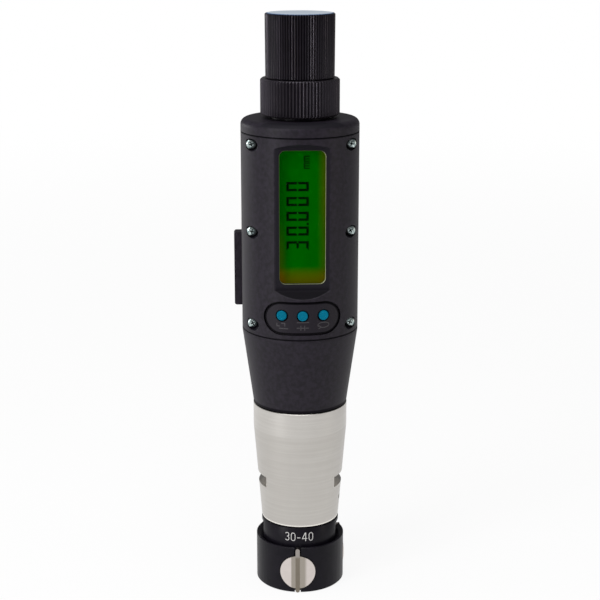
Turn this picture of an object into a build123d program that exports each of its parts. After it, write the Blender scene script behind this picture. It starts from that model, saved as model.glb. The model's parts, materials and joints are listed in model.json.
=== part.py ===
from build123d import *
import os
from math import cos, pi, radians, sin, sqrt, tan

# A digital internal micrometer with three anvils, for bores of 30 to 40 mm.
# It stands on its measuring head. Millimetres, +Z up along the spindle, the display faces -Y.
# The origin is the centre of the head's lower face.

os.makedirs("parts", exist_ok=True)

# Clearances
slide_gap = 0.05            # between pieces that slide or turn on each other
seat_gap = 0.02             # between pieces that are fixed to each other
seam = 0.25                 # the visible joint between head, sleeve and housing
cover_seam = 0.22           # round the front cover
free_gap = 0.3              # between pieces that only pass each other

# Measuring head
head_radius = 14.6
head_height = 14.9
neck_radius = 12.8
neck_height = 7.25
neck_flat_height = 5.85
neck_across_flats = 24.0
spigot_radius = 11.0
spigot_height = 9.1
head_turn = -95.7           # direction of the front anvil in degrees, as the head is screwed on
edge_break = 0.3

# Anvils
anvil_radius = 5.8
anvil_height = 7.3
anvil_face = 14.75          # distance of the anvil's outer face from the axis
facet_start = 2.2           # half width of the flat band across the face
facet_angle = 15.0
contact_radius = 15.0
strip_width = 1.4
strip_depth = 1.9
strip_low = 0.15
strip_high = 15.2
strip_slot_width = 2.0
anvil_travel = 5.0
anvil_count = 3

# Expander cone: three flat ramps, each with a rail of T section that an anvil hangs on
ramp_slope = 0.5            # outward per unit down, so one unit down opens the diameter by one
tip_height = 10.65
tip_distance = 1.65
cone_radius = 9.2
cone_top = 31.0
rail_neck_width = 2.4
rail_neck_height = 0.6
rail_head_width = 4.2
rail_head_height = 0.65
rail_sink = 0.3             # how far the rail is rooted in its ramp
slot_reach = 8.0            # the anvil's slot runs this far past the ramp's middle
wedge_start = 0.06          # keeps neighbouring anvils apart when they are closed
stem_radius = 5.0
stem_height = 11.0
swivel_radius = 3.3
swivel_depth = 7.0
ball_radius = 1.5

# Cap under the head
cap_radius = 9.8
cap_thickness = 1.2
cap_pocket_radius = 4.0
cap_pocket_depth = 0.7
cap_screw_circle = 7.8
cap_screw_radius = 0.8
cap_screw_head_radius = 1.5
cap_screw_length = 3.0
cap_screw_slot = 0.35

# Sleeve
sleeve_height = 40.4
sleeve_low_radius = 12.75
sleeve_radius = 15.35
sleeve_band = 8.1
sleeve_bore = 9.6
sleeve_thread_radius = 13.2
sleeve_thread_depth = 9.6
spanner_across_flats = 22.3
spanner_height = 3.8
spanner_low = 12.3          # above the sleeve's lower end
sleeve_turn = -2.0
grub_height = 7.1           # above the sleeve's lower end
grub_radius = 0.8
grub_turn = -14.0
grub_length = 1.5
grub_hexagon = 0.42

# Spindle screw and nut
screw_pitch = 0.5
spare_turns = 4             # turns of thread beyond each end of the nut's range
thread_radius = 4.0
thread_chamfer = 0.6
rod_radius = 2.2
shaft_radius = 3.2
collar_radius = 3.1
collar_height = 1.4
swivel_flange = 1.2
bore_clearance = 1.0        # round the screw where it passes through the bush and the lock ring
keyway_spare = 1.0
shaft_spare = 4.0
nut_radius = 8.0
nut_height = 16.0
nut_seat = 1.2              # above the sleeve's upper end
lock_ring_height = 4.0
lock_ring_slot = 1.2        # width and depth of the slots for a pin spanner
bush_radius = 11.0
bush_height = 24.7          # above the sleeve's upper end

# Housing
taper_height = 24.45
taper_low_radius = 15.27
body_radius = 18.7
wall = 2.2
top_wall = 3.0
top_fillet = 2.0
top_band = 4.15             # height of the full ring above the front cover
cover_start = 0.95          # the cover's lower edge above the foot of the body
floor_height = 21.2         # the inner floor above the taper's lower end
floor_step = 0.6            # how much narrower the cavity is at its floor
housing_nut_height = 3.4
housing_nut_clearance = 0.5 # from the housing's wall
housing_nut_slot = 2.0
bulkhead_thickness = 2.0
bulkhead_clearance = 0.6    # behind the circuit board
bulkhead_notch = 6.0        # width of the notches beside the screw bosses

# Cover screws
cover_screw_inset = 3.2     # from the housing's side
cover_screw_low = 3.15      # above the cover's lower edge
cover_screw_shift = 1.3     # the middle pair above the cover's middle
cover_screw_high = 2.95     # below the cover's upper edge
cover_screw_sink = 2.86     # from the cover's surface to the screw's seat
screw_head_radius = 1.5
screw_head_height = 1.3
screw_radius = 0.95
screw_length = 11.5
screw_clearance = 0.15
cross_width = 0.4
cross_length = 1.7
cross_depth = 0.6
counterbore_radius = 1.95
boss_radius = 2.6
boss_depth = 7.0
boss_floor = 1.0

# Window and display
window_gap = 5.2            # from the button field to the window
window_margin = 3.75        # from the window to the cover's upper edge
window_width = 14.5
window_length = 42.0
window_corner = 2.0
pocket_depth = 2.2          # of the flat field round the window
pocket_low_ramp = [2.0, 4.6]    # below the window: where the ramp starts, and ends at the surface
pocket_high_ramp = [0.5, 2.1]   # above the window
pocket_spare = 4.0              # the cut runs this far past the surface
face_wall = 3.8             # from the housing's front to the flat face inside
lens_flange = 0.9
lens_flange_thickness = 0.8
lens_recess = 0.05          # the lens stands this far out of the flat field
panel_side = 1.75           # the display is wider than the window on each side
panel_end = 2.0             # and longer at each end
panel_thickness = 1.8
light_guide_thickness = 1.7
board_side = 0.44           # from the board to the wall or the screw bosses
board_margin = 1.45         # from the board to the cover's ends
board_corner = 1.0
board_thickness = 1.2

# Buttons
button_rise = 0.85          # above the button field's centre
button_share = 0.2686       # of the button field's width from one button to the next
button_radius = 1.575
button_hole_radius = 1.95
button_proud = 0.15
button_flange_radius = 2.35
button_flange_thickness = 0.75
button_travel = 0.5
pad_margin = 1.55           # from the cover's lower edge to the button field
pad_side = 6.6              # from the housing's side to the button field
pad_length = 10.9
pad_depth = 0.9
pad_groove = 0.5
pad_sink = 0.1              # below the cover's surface
switch_size = 4.4
switch_depth = 2.3
plunger_radius = 1.0

# Battery drawer on the left side
drawer_height = 18.7        # its centre above the foot of the body
drawer_margin = 2.1         # from the cell to the drawer's ends
drawer_depth_low = 4.6
drawer_thickness = 4.5
drawer_stand = 2.4          # the drawer's face stands this far out of the housing
drawer_face_thickness = 3.9
drawer_corner = 0.8
drawer_inset = 0.3          # the tray is this much smaller than its face all round
cell_radii = [10.0, 8.0, 6.25]  # of coin cells that are sold; the largest that fits is used
cell_thickness = 3.2
cell_inset = 1.2            # from the drawer's face to the cell
cell_far_wall = 1.8         # from the cell to the tray's far end
holder_wall = 1.3
holder_gap = 0.1            # round the tray
holder_lip = 1.0
holder_lip_depth = 0.6
end_gap = 0.3               # from the tray's end to the holder
post_inset = 2.5            # from the holder's start to the first post
post_spacing = 12.0
post_radius = 2.2
post_pin_radius = 0.8
notch_width = 6.0
contact_width = 5.0
contact_thickness = 0.25
contact_lift = 0.8          # of the spring finger above the tray's floor
strip_contact_start = 1.0   # the flat contact, left of the cell's middle
strip_contact_end = 6.0
strip_contact_rise = 3.0
strip_contact_width = 4.0
strip_contact_thickness = 0.08

# Thimble, drive tube and encoder
tube_radius = 4.2
tube_clearance = 1.0        # from the thread to the tube
key_width = 1.5
key_height = 6.0
key_lift = 12.0             # above the tube's lower end
key_reach = 2.3
thimble_lift = 1.0          # above the housing
thimble_radius = 12.45
thimble_height = 11.3
thimble_teeth = 72
thimble_tooth_depth = 0.55
thimble_chamfer = 0.5
crest_flat = 0.1            # the teeth are turned down by this much
thimble_web = 3.0
thimble_rim_inner = 9.9
hub_radius = 7.0
hub_rise = 2.0
top_bush_radius = 7.0
top_bush_clearance = 0.6    # above the circuit board
top_bush_flange = 0.55
top_bush_flange_radius = 9.0
seal_depth = 2.0
seal_radius = 5.6
encoder_board_gap = 0.8     # behind the circuit board
stator_thickness = 1.6
encoder_gap = 0.4
rotor_inset = 0.2           # the rotor is this much smaller than the stator
rotor_thickness = 1.6
rotor_collar_share = 2 / 3  # of the rotor's width
rotor_collar_height = 3.5
rotor_collar_split = 1.0
encoder_clearance = 6.5     # from the battery holder to the rotor's collar
stator_clearance = 0.5

# Knob with its slipping clutch
knob_low_radius = 10.8
knob_high_radius = 10.93
knob_height = 20.1
knob_ribs = 80
knob_rib_depth = 0.42
knob_chamfer = 0.3
knob_lift = 0.1
knob_skirt_inner = 8.4
knob_web = 2.5
knob_cavity_radius = 8.6
friction_thickness = 0.8
thrust_thickness = 0.7
spring_height = 6.0
spring_wire = 0.9           # side of the square wire
spring_radius = 5.1
spring_turns = 4
clutch_head_radius = 6.2
clutch_head_height = 2.2
clutch_shank_depth = 8.0
clutch_chamfer = 0.4
clutch_slot_width = 1.2
clutch_slot_depth = 1.0
disc_rim = 0.3              # the knob's rim round the disc
disc_thickness = 1.0
disc_recess = 1.2
disc_chamfer = 0.15

# Heights and places that follow from the sizes above
neck_top = head_height + neck_height
spigot_top = neck_top + spigot_height
sleeve_low = neck_top + seam
sleeve_top = sleeve_low + sleeve_height
taper_low = sleeve_top + seam
body_low = taper_low + taper_height
cavity_radius = body_radius - wall
housing_nut_radius = cavity_radius - floor_step - housing_nut_clearance
pocket_floor = body_radius - pocket_depth
inner_flat = body_radius - face_wall
cover_screw_side = body_radius - cover_screw_inset
cover_screw_seat = sqrt(body_radius ** 2 - cover_screw_side ** 2) - cover_screw_sink
pad_width = 2 * (body_radius - pad_side)
button_spacing = button_share * pad_width
floor_level = taper_low + floor_height
cover_length = pad_margin + pad_length + window_gap + window_length + window_margin
cover_low = body_low + cover_start
cover_high = cover_low + cover_length
cover_middle = (cover_low + cover_high) / 2
body_top = cover_high + top_band
pad_level = cover_low + pad_margin + pad_length / 2
pad_surface = body_radius - pad_sink
button_level = pad_level + button_rise
window_low = cover_low + pad_margin + pad_length + window_gap
window_high = window_low + window_length
window_level = (window_low + window_high) / 2
cone_travel = anvil_travel / ramp_slope
cone_bore = cone_radius + slide_gap
stem_top = cone_top + stem_height
swivel_floor = stem_top - swivel_depth
spindle_low = swivel_floor + 2 * ball_radius
nut_low = sleeve_top + nut_seat
nut_top = nut_low + nut_height
thread_low = nut_low - spare_turns * screw_pitch
thread_top = nut_top + cone_travel + spare_turns * screw_pitch
tube_low = thread_top + tube_clearance
key_low = tube_low + key_lift
key_top = key_low + key_height
spindle_top = key_top + cone_travel + shaft_spare
tube_bore = shaft_radius + slide_gap
bush_top = sleeve_top + bush_height
drawer_level = body_low + drawer_height
drawer_back = drawer_depth_low + drawer_thickness
holder_back = drawer_back + holder_wall
drawer_face_end = body_radius + drawer_stand
tray_start = drawer_face_thickness - drawer_face_end
cell_room = sqrt(cavity_radius ** 2 - holder_back ** 2) - holder_wall - end_gap - cell_far_wall
fitting_cells = [r for r in cell_radii if tray_start + cell_inset + 2 * r < cell_room]
cell_radius = fitting_cells[0] if fitting_cells else cell_radii[-1]
drawer_length = 2 * (cell_radius + drawer_margin)
drawer_low = drawer_level - drawer_length / 2
drawer_high = drawer_level + drawer_length / 2
tray_low = drawer_depth_low + drawer_inset
tray_back = drawer_back - drawer_inset
tray_bottom = drawer_low + drawer_inset
tray_top = drawer_high - drawer_inset
tray_end = tray_start + cell_inset + 2 * cell_radius + cell_far_wall
holder_low = tray_bottom - holder_gap - holder_wall
holder_high = tray_top + holder_gap + holder_wall
cell_middle = tray_start + cell_inset + cell_radius
cell_floor = tray_back - slide_gap - cell_thickness
rotor_low = holder_high + encoder_clearance + rotor_collar_height
stator_low = rotor_low + rotor_thickness + encoder_gap
bulkhead_low = stator_low + stator_thickness
thimble_low = body_top + thimble_lift
thimble_top = thimble_low + thimble_height
knob_low = thimble_top + knob_lift
knob_top = thimble_top + knob_height
hub_top = thimble_top + hub_rise
web_low = hub_top + friction_thickness + 2 * slide_gap
web_top = web_low + knob_web
tube_top = web_top + slide_gap
spring_low = tube_top + thrust_thickness
spring_top = spring_low + spring_height
clutch_top = spring_top + clutch_head_height
disc_low = knob_top - disc_recess
disc_radius = knob_high_radius - knob_chamfer - disc_rim
panel_front = inner_flat - lens_flange_thickness
panel_width = window_width + 2 * panel_side
panel_length = window_length + 2 * panel_end
board_front = panel_front - panel_thickness - light_guide_thickness
board_length = cover_length - 2 * board_margin
board_room = min(sqrt(cavity_radius ** 2 - board_front ** 2), cover_screw_side - boss_radius)
board_width = 2 * (board_room - board_side)
board_back = board_front - board_thickness
board_top = cover_middle + board_length / 2
bulkhead_front = board_back - bulkhead_clearance
stator_radius = board_back - encoder_board_gap
rotor_radius = stator_radius - rotor_inset
rotor_collar_radius = tube_radius + rotor_collar_share * (rotor_radius - tube_radius)
top_bush_depth = body_top - board_top - top_bush_clearance
anvil_angles = [head_turn + i * 360 / anvil_count for i in range(anvil_count)]
cover_screw_levels = [cover_low + cover_screw_low, cover_middle + cover_screw_shift,
                      cover_high - cover_screw_high]
cover_screw_places = [(side * cover_screw_side, h) for side in (-1, 1) for h in cover_screw_levels]
holder_start = free_gap - sqrt(cavity_radius ** 2 - holder_back ** 2)
post_spots = [(holder_start + post_inset + i * post_spacing, drawer_level) for i in (0, 1)]
button_places = [(i * button_spacing, button_level) for i in (-1, 0, 1)]


# Drawing helpers

def out_of(angle):
    # the level direction at this angle from +X
    return Vector(cos(radians(angle)), sin(radians(angle)), 0)


def facing(angle, height):
    # a plane across that direction: x runs sideways, y up and z outwards
    out = out_of(angle)
    return Plane(origin=(0, 0, height), x_dir=(-out.Y, out.X, 0), z_dir=out)


def upright(angle):
    # a plane along that direction: x runs outwards and y up
    out = out_of(angle)
    return Plane(origin=(0, 0, 0), x_dir=out, z_dir=(out.Y, -out.X, 0))


def level(angle, height):
    # a level plane: x runs outwards and y sideways
    return Plane(origin=(0, 0, height), x_dir=out_of(angle), z_dir=(0, 0, 1))


def ramp(angle, distance, height):
    # a plane across a ramp, from the point at this distance and height: y leaves the ramp, z climbs it
    out = out_of(angle)
    climb = Vector(ramp_slope * out.X, ramp_slope * out.Y, 1)
    return Plane(origin=(distance * out.X, distance * out.Y, height), x_dir=(out.Y, -out.X, 0), z_dir=climb)


def ramp_distance(height):
    # how far the ramps lie from the axis at this height, with the anvils closed
    return tip_distance + ramp_slope * (height - tip_height)


def outline(points):
    # a closed straight-sided face in the current sketch
    Polygon(*points, align=None)


def turned(points, mode=Mode.ADD):
    # an outline of (radius, height) points turned about the axis
    with BuildSketch(Plane.XZ) as profile:
        outline(points)
    revolve(profile.sketch, axis=Axis.Z, mode=mode)


def ring(outer, inner, low, high, mode=Mode.ADD):
    turned([(inner, low), (outer, low), (outer, high), (inner, high)], mode)


def block(x, y, z, mode=Mode.ADD):
    # an upright block between two values of x, y and z
    with BuildSketch(Plane.XY.offset(z[0])) as base:
        with Locations(((x[0] + x[1]) / 2, (y[0] + y[1]) / 2)):
            Rectangle(x[1] - x[0], y[1] - y[0])
    extrude(base.sketch, amount=z[1] - z[0], mode=mode)


def tee(gap, sink):
    # the T section of a rail, or with a gap that of its slot, standing on the ramp
    neck = rail_neck_width / 2 + gap
    head = rail_head_width / 2 + gap
    shoulder = rail_neck_height - gap
    top = rail_neck_height + rail_head_height + gap
    outline([(-neck, -sink), (-neck, shoulder), (-head, shoulder), (-head, top),
             (head, top), (head, shoulder), (neck, shoulder), (neck, -sink)])


def ribbed(crest, root, count):
    # a closed saw-toothed outline with one crest and one root for each tooth
    points = []
    for i in range(count):
        step = 2 * pi / count
        points.append((crest * cos(i * step), crest * sin(i * step)))
        points.append((root * cos((i + 0.5) * step), root * sin((i + 0.5) * step)))
    outline(points)


def save(builder, name):
    builder.part.label = name
    export_step(builder.part, f"parts/{name}.step")


# Measuring head

with BuildPart() as head_body:
    turned([
        (0, 0), (head_radius - edge_break, 0), (head_radius, edge_break),
        (head_radius, head_height - edge_break), (head_radius - edge_break, head_height),
        (neck_radius, head_height), (neck_radius, neck_top - edge_break),
        (neck_radius - edge_break, neck_top), (spigot_radius, neck_top),
        (spigot_radius, spigot_top), (0, spigot_top),
    ])
    # two spanner flats on the neck, parallel to the front anvil
    for side in (-1, 1):
        with BuildSketch(level(head_turn, head_height)):
            with Locations((0, side * (neck_across_flats / 2 + neck_radius / 2))):
                Rectangle(2 * neck_radius, neck_radius)
        extrude(amount=neck_flat_height, mode=Mode.SUBTRACT)
    # the cone's bore, with a conical foot that leaves metal for the cap's screws
    foot_radius = cap_pocket_radius + 0.2
    turned([
        (0, cap_thickness), (foot_radius, cap_thickness),
        (cone_bore, cap_thickness + cone_bore - foot_radius), (cone_bore, spigot_top), (0, spigot_top),
    ], Mode.SUBTRACT)
    ring(cap_radius + seat_gap, 0, 0, cap_thickness, Mode.SUBTRACT)
    for angle in anvil_angles:
        with BuildSketch(facing(angle, anvil_height)):
            Circle(anvil_radius + slide_gap)
        extrude(amount=head_radius + 1, mode=Mode.SUBTRACT)
        # the contact strip's slot reaches in to the neck
        with BuildSketch(level(angle, 0)):
            with Locations((neck_radius + 0.1 + strip_depth, 0)):
                Rectangle(2 * strip_depth, strip_slot_width)
        extrude(amount=head_height, mode=Mode.SUBTRACT)
    for angle in anvil_angles:
        spot = out_of(angle + 180 / anvil_count) * cap_screw_circle
        with BuildSketch(Plane.XY):
            with Locations((spot.X, spot.Y)):
                Circle(cap_screw_radius + seat_gap)
        extrude(amount=cap_screw_length + seat_gap, mode=Mode.SUBTRACT)
save(head_body, "head_body")

# The screw's head is sunk flush in the cap
screw_head_depth = cap_screw_head_radius - cap_screw_radius
with BuildPart() as head_cap:
    ring(cap_radius, 0, 0, cap_thickness)
    ring(cap_pocket_radius, 0, cap_thickness - cap_pocket_depth, cap_thickness, Mode.SUBTRACT)
    for angle in anvil_angles:
        spot = out_of(angle + 180 / anvil_count) * cap_screw_circle
        with BuildSketch(Plane.XY):
            with Locations((spot.X, spot.Y)):
                Circle(cap_screw_head_radius + seat_gap)
        with BuildSketch(Plane.XY.offset(screw_head_depth)):
            with Locations((spot.X, spot.Y)):
                Circle(cap_screw_radius + seat_gap)
        loft(mode=Mode.SUBTRACT)
        with BuildSketch(Plane.XY):
            with Locations((spot.X, spot.Y)):
                Circle(cap_screw_radius + seat_gap)
        extrude(amount=cap_thickness, mode=Mode.SUBTRACT)
save(head_cap, "head_cap")

with BuildPart() as head_cap_screws:
    for angle in anvil_angles:
        spot = out_of(angle + 180 / anvil_count) * cap_screw_circle
        with BuildSketch(Plane.XY):
            with Locations((spot.X, spot.Y)):
                Circle(cap_screw_head_radius)
        with BuildSketch(Plane.XY.offset(screw_head_depth)):
            with Locations((spot.X, spot.Y)):
                Circle(cap_screw_radius)
        loft()
        with BuildSketch(Plane.XY.offset(screw_head_depth)):
            with Locations((spot.X, spot.Y)):
                Circle(cap_screw_radius)
        extrude(amount=cap_screw_length - screw_head_depth)
        # the driver slot
        with BuildSketch(Plane.XY):
            with Locations((spot.X, spot.Y)):
                Rectangle(2 * cap_screw_head_radius, cap_screw_slot)
        extrude(amount=screw_head_depth / 2, mode=Mode.SUBTRACT)
save(head_cap_screws, "head_cap_screws")

# Three anvils, each with its contact strip

anvil_inner = ramp_distance(tip_height) + slide_gap
for number, angle in enumerate(anvil_angles, start=1):
    with BuildPart() as anvil:
        with BuildSketch(facing(angle, anvil_height).offset(anvil_inner)):
            Circle(anvil_radius)
        extrude(amount=anvil_face - anvil_inner)
        # facets that fall away on each side of the flat band, and the pointed inner end
        spread = 1.2 * anvil_radius
        facet_drop = (spread - facet_start) * tan(radians(facet_angle))
        wedge_slope = tan(pi / anvil_count)
        for side in (-1, 1):
            with BuildSketch(level(angle, anvil_height)):
                outline([(anvil_face, side * facet_start), (anvil_face + 1, side * facet_start),
                         (anvil_face + 1, side * spread), (anvil_face - facet_drop, side * spread)])
                wedge_edge = (anvil_inner - 0.5 - wedge_start) * wedge_slope
                outline([(anvil_inner - 0.5, side * wedge_edge), (anvil_inner - 0.5, side * spread),
                         (wedge_start + spread / wedge_slope, side * spread)])
            extrude(amount=2 * anvil_radius, both=True, mode=Mode.SUBTRACT)
        # the ramp across the upper inner corner, and the slot for the cone's rail
        low = tip_height - 2
        high = anvil_height + 1.5 * anvil_radius
        with BuildSketch(upright(angle)):
            outline([(ramp_distance(low) + slide_gap, low), (ramp_distance(high) + slide_gap, high),
                     (ramp_distance(low) + slide_gap, high)])
        extrude(amount=2 * anvil_radius, both=True, mode=Mode.SUBTRACT)
        slot_low = tip_height - slot_reach
        with BuildSketch(ramp(angle, ramp_distance(slot_low) + slide_gap / 2, slot_low)):
            tee(slide_gap, rail_head_height)
        extrude(amount=2 * slot_reach, mode=Mode.SUBTRACT)
        # the groove that the contact strip is brazed into
        with BuildSketch(level(angle, 0)):
            with Locations((contact_radius, 0)):
                Rectangle(2 * strip_depth, strip_width)
        extrude(amount=strip_high, mode=Mode.SUBTRACT)
    save(anvil, f"anvil_{number}")

    with BuildPart() as anvil_strip:
        with BuildSketch(facing(angle, 0).offset(contact_radius - strip_depth)):
            with Locations((0, (strip_low + strip_high) / 2)):
                SlotOverall(strip_high - strip_low, strip_width, rotation=90)
        extrude(amount=strip_depth + 0.5)
        ring(contact_radius, 0, 0, strip_high + 1, Mode.INTERSECT)
    save(anvil_strip, f"anvil_strip_{number}")

# Expander cone and the swivel that joins it to the spindle

with BuildPart() as expander_cone:
    ring(cone_radius, 0, tip_height, cone_top)
    run_out = tip_height + (1.1 * cone_radius - tip_distance) / ramp_slope
    below = tip_height - 2
    for angle in anvil_angles:
        with BuildSketch(upright(angle)):
            outline([(ramp_distance(below), below), (1.4 * cone_radius, below),
                     (1.4 * cone_radius, run_out), (ramp_distance(run_out), run_out)])
        extrude(amount=1.5 * cone_radius, both=True, mode=Mode.SUBTRACT)
    for angle in anvil_angles:
        with BuildSketch(ramp(angle, ramp_distance(below), below)):
            tee(0, rail_sink)
        extrude(amount=(run_out - below) * sqrt(1 + ramp_slope ** 2))
    ring(cone_radius, 0, tip_height, cone_top, Mode.INTERSECT)
    ring(stem_radius, 0, cone_top, stem_top)
    ring(swivel_radius, 0, swivel_floor, stem_top, Mode.SUBTRACT)
save(expander_cone, "expander_cone")

with BuildPart() as thrust_ball:
    with Locations((0, 0, swivel_floor + ball_radius)):
        Sphere(ball_radius)
save(thrust_ball, "thrust_ball")

swivel_ring_low = spindle_low + collar_height + slide_gap
with BuildPart() as swivel_ring:
    bore = rod_radius + slide_gap
    turned([
        (bore, swivel_ring_low), (swivel_radius - seat_gap, swivel_ring_low),
        (swivel_radius - seat_gap, stem_top), (stem_radius, stem_top),
        (stem_radius, stem_top + swivel_flange), (bore, stem_top + swivel_flange),
    ])
save(swivel_ring, "swivel_ring")

# Spindle: collar, rod, screw and keyed shaft

with BuildPart() as spindle:
    turned([
        (0, spindle_low), (collar_radius, spindle_low), (collar_radius, spindle_low + collar_height),
        (rod_radius, spindle_low + collar_height), (rod_radius, thread_low),
        (thread_radius - thread_chamfer, thread_low), (thread_radius, thread_low + thread_chamfer),
        (thread_radius, thread_top - thread_chamfer), (thread_radius - thread_chamfer, thread_top),
        (shaft_radius, thread_top), (shaft_radius, spindle_top - edge_break),
        (shaft_radius - edge_break, spindle_top), (0, spindle_top),
    ])
    # the keyway stays on the drive key over the whole travel
    block((-key_width / 2 - slide_gap, key_width / 2 + slide_gap), (-thread_radius, -key_reach + slide_gap),
          (key_low - keyway_spare, spindle_top), Mode.SUBTRACT)
save(spindle, "spindle")

# Sleeve with spanner flats

with BuildPart() as sleeve:
    turned([
        (spigot_radius + seat_gap, sleeve_low), (sleeve_low_radius - edge_break, sleeve_low),
        (sleeve_low_radius, sleeve_low + edge_break), (sleeve_radius, sleeve_top - sleeve_band),
        (sleeve_radius, sleeve_top - edge_break), (sleeve_radius - edge_break, sleeve_top),
        (sleeve_thread_radius + seat_gap, sleeve_top),
        (sleeve_thread_radius + seat_gap, sleeve_top - sleeve_thread_depth),
        (sleeve_bore, sleeve_top - sleeve_thread_depth), (sleeve_bore, spigot_top + free_gap),
        (spigot_radius + seat_gap, spigot_top + free_gap),
    ])
    for side in (-1, 1):
        with BuildSketch(level(sleeve_turn, sleeve_low + spanner_low)):
            with Locations((side * (spanner_across_flats / 2 + sleeve_radius / 2), 0)):
                Rectangle(sleeve_radius, 2 * sleeve_radius)
        extrude(amount=spanner_height, mode=Mode.SUBTRACT)
    with BuildSketch(facing(grub_turn, sleeve_low + grub_height)):
        Circle(grub_radius + seat_gap)
    extrude(amount=sleeve_radius, mode=Mode.SUBTRACT)
save(sleeve, "sleeve")

# Grub screw that locks the sleeve on the head's spigot
with BuildPart() as sleeve_grub_screw:
    with BuildSketch(facing(grub_turn, sleeve_low + grub_height).offset(spigot_radius + seat_gap)):
        Circle(grub_radius)
    extrude(amount=grub_length)
    socket_floor = spigot_radius + seat_gap + grub_length / 2
    with BuildSketch(facing(grub_turn, sleeve_low + grub_height).offset(socket_floor)):
        RegularPolygon(grub_hexagon, 6)
    extrude(amount=grub_length, mode=Mode.SUBTRACT)
save(sleeve_grub_screw, "sleeve_grub_screw")

# Core bush that joins sleeve and housing, and the screw's nut inside it

with BuildPart() as core_bush:
    foot = sleeve_top - sleeve_thread_depth + seat_gap
    turned([
        (thread_radius + bore_clearance, foot), (sleeve_thread_radius, foot),
        (sleeve_thread_radius, sleeve_top), (bush_radius, sleeve_top), (bush_radius, bush_top),
        (nut_radius + seat_gap, bush_top), (nut_radius + seat_gap, nut_low),
        (thread_radius + bore_clearance, nut_low),
    ])
save(core_bush, "core_bush")

with BuildPart() as screw_nut:
    ring(nut_radius, thread_radius + slide_gap, nut_low, nut_top)
save(screw_nut, "screw_nut")

with BuildPart() as nut_lock_ring:
    ring(nut_radius, thread_radius + bore_clearance, nut_top, nut_top + lock_ring_height)
    # two slots for a pin spanner
    block((-nut_radius, nut_radius), (-lock_ring_slot / 2, lock_ring_slot / 2),
          (nut_top + lock_ring_height - lock_ring_slot, nut_top + lock_ring_height), Mode.SUBTRACT)
save(nut_lock_ring, "nut_lock_ring")

with BuildPart() as housing_nut:
    ring(housing_nut_radius, bush_radius + seat_gap, floor_level, floor_level + housing_nut_height)
    for turn in (0, 90):
        with BuildSketch(level(turn, floor_level + housing_nut_height - housing_nut_slot / 2)):
            Rectangle(3 * housing_nut_radius, housing_nut_slot)
        extrude(amount=housing_nut_slot, mode=Mode.SUBTRACT)
save(housing_nut, "housing_nut")

# Housing: tapered neck, rear half shell and closed top in one moulding

with BuildPart() as main_housing:
    with BuildSketch(Plane.XZ):
        with BuildLine():
            shoulder = (body_radius - top_fillet, body_top)
            Polyline((top_bush_radius + seat_gap, body_top - top_wall), (cavity_radius, body_top - top_wall),
                     (cavity_radius, body_low), (cavity_radius - floor_step, floor_level),
                     (bush_radius + seat_gap, floor_level), (bush_radius + seat_gap, taper_low),
                     (taper_low_radius, taper_low), (body_radius, body_low),
                     (body_radius, body_top - top_fillet))
            RadiusArc((body_radius, body_top - top_fillet), shoulder, -top_fillet)
            Polyline(shoulder, (top_bush_radius + seat_gap, body_top),
                     (top_bush_radius + seat_gap, body_top - top_wall))
        make_face()
    revolve(axis=Axis.Z)
    # the front opening that the cover closes
    with BuildSketch(Plane.XY.offset(cover_low - cover_seam)):
        with Locations((0, -body_radius)):
            Rectangle(3 * body_radius, 2 * body_radius)
    extrude(amount=cover_high - cover_low + 2 * cover_seam, mode=Mode.SUBTRACT)
    # bosses for the cover's screws
    with BuildSketch(Plane.XZ):
        with Locations(*cover_screw_places):
            Circle(boss_radius)
    extrude(amount=-boss_depth)
    # bulkhead that carries the encoder and the lower end of the drive tube
    with BuildSketch(Plane.XY.offset(bulkhead_low)):
        Circle(cavity_radius + 0.1)
        with Locations((0, -bulkhead_front - body_radius)):
            Rectangle(3 * body_radius, 2 * body_radius, mode=Mode.SUBTRACT)
        for side in (-1, 1):
            with Locations((side * (cavity_radius - bulkhead_notch / 4), -body_radius)):
                Rectangle(bulkhead_notch, 2 * body_radius, mode=Mode.SUBTRACT)
    extrude(amount=bulkhead_thickness)
    ring(tube_radius + slide_gap, 0, bulkhead_low, bulkhead_low + bulkhead_thickness, Mode.SUBTRACT)
    # posts that carry the battery holder
    with BuildSketch(Plane.XZ.offset(-holder_back)):
        with Locations(*post_spots):
            Circle(post_radius)
    extrude(amount=-(cavity_radius - holder_back))
    with BuildSketch(Plane.XZ.offset(-holder_back)):
        with Locations(*post_spots):
            Circle(post_pin_radius)
    extrude(amount=holder_wall)
    # nothing stands out of the round shell
    turned([(0, taper_low), (taper_low_radius, taper_low), (body_radius, body_low), (body_radius, body_top),
            (0, body_top)], Mode.INTERSECT)
    # screw holes
    with BuildSketch(Plane.XZ):
        with Locations(*cover_screw_places):
            Circle(screw_radius + seat_gap)
    extrude(amount=-(boss_depth - boss_floor), mode=Mode.SUBTRACT)
    # the drawer's opening in the left wall
    block((-2 * body_radius, -body_radius / 2), (drawer_depth_low - cover_seam, drawer_back + cover_seam),
          (drawer_low - cover_seam, drawer_high + cover_seam), Mode.SUBTRACT)
save(main_housing, "main_housing")

# Front cover: a half shell with the display's flat, the window and the button field

with BuildPart() as pad_space:
    with BuildSketch(Plane.XZ.offset(body_radius / 2)):
        with Locations((0, pad_level)):
            SlotOverall(pad_width, pad_length)
    extrude(amount=body_radius)
    ring(2 * body_radius, body_radius - pad_depth, cover_low, cover_high, Mode.INTERSECT)

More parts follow.
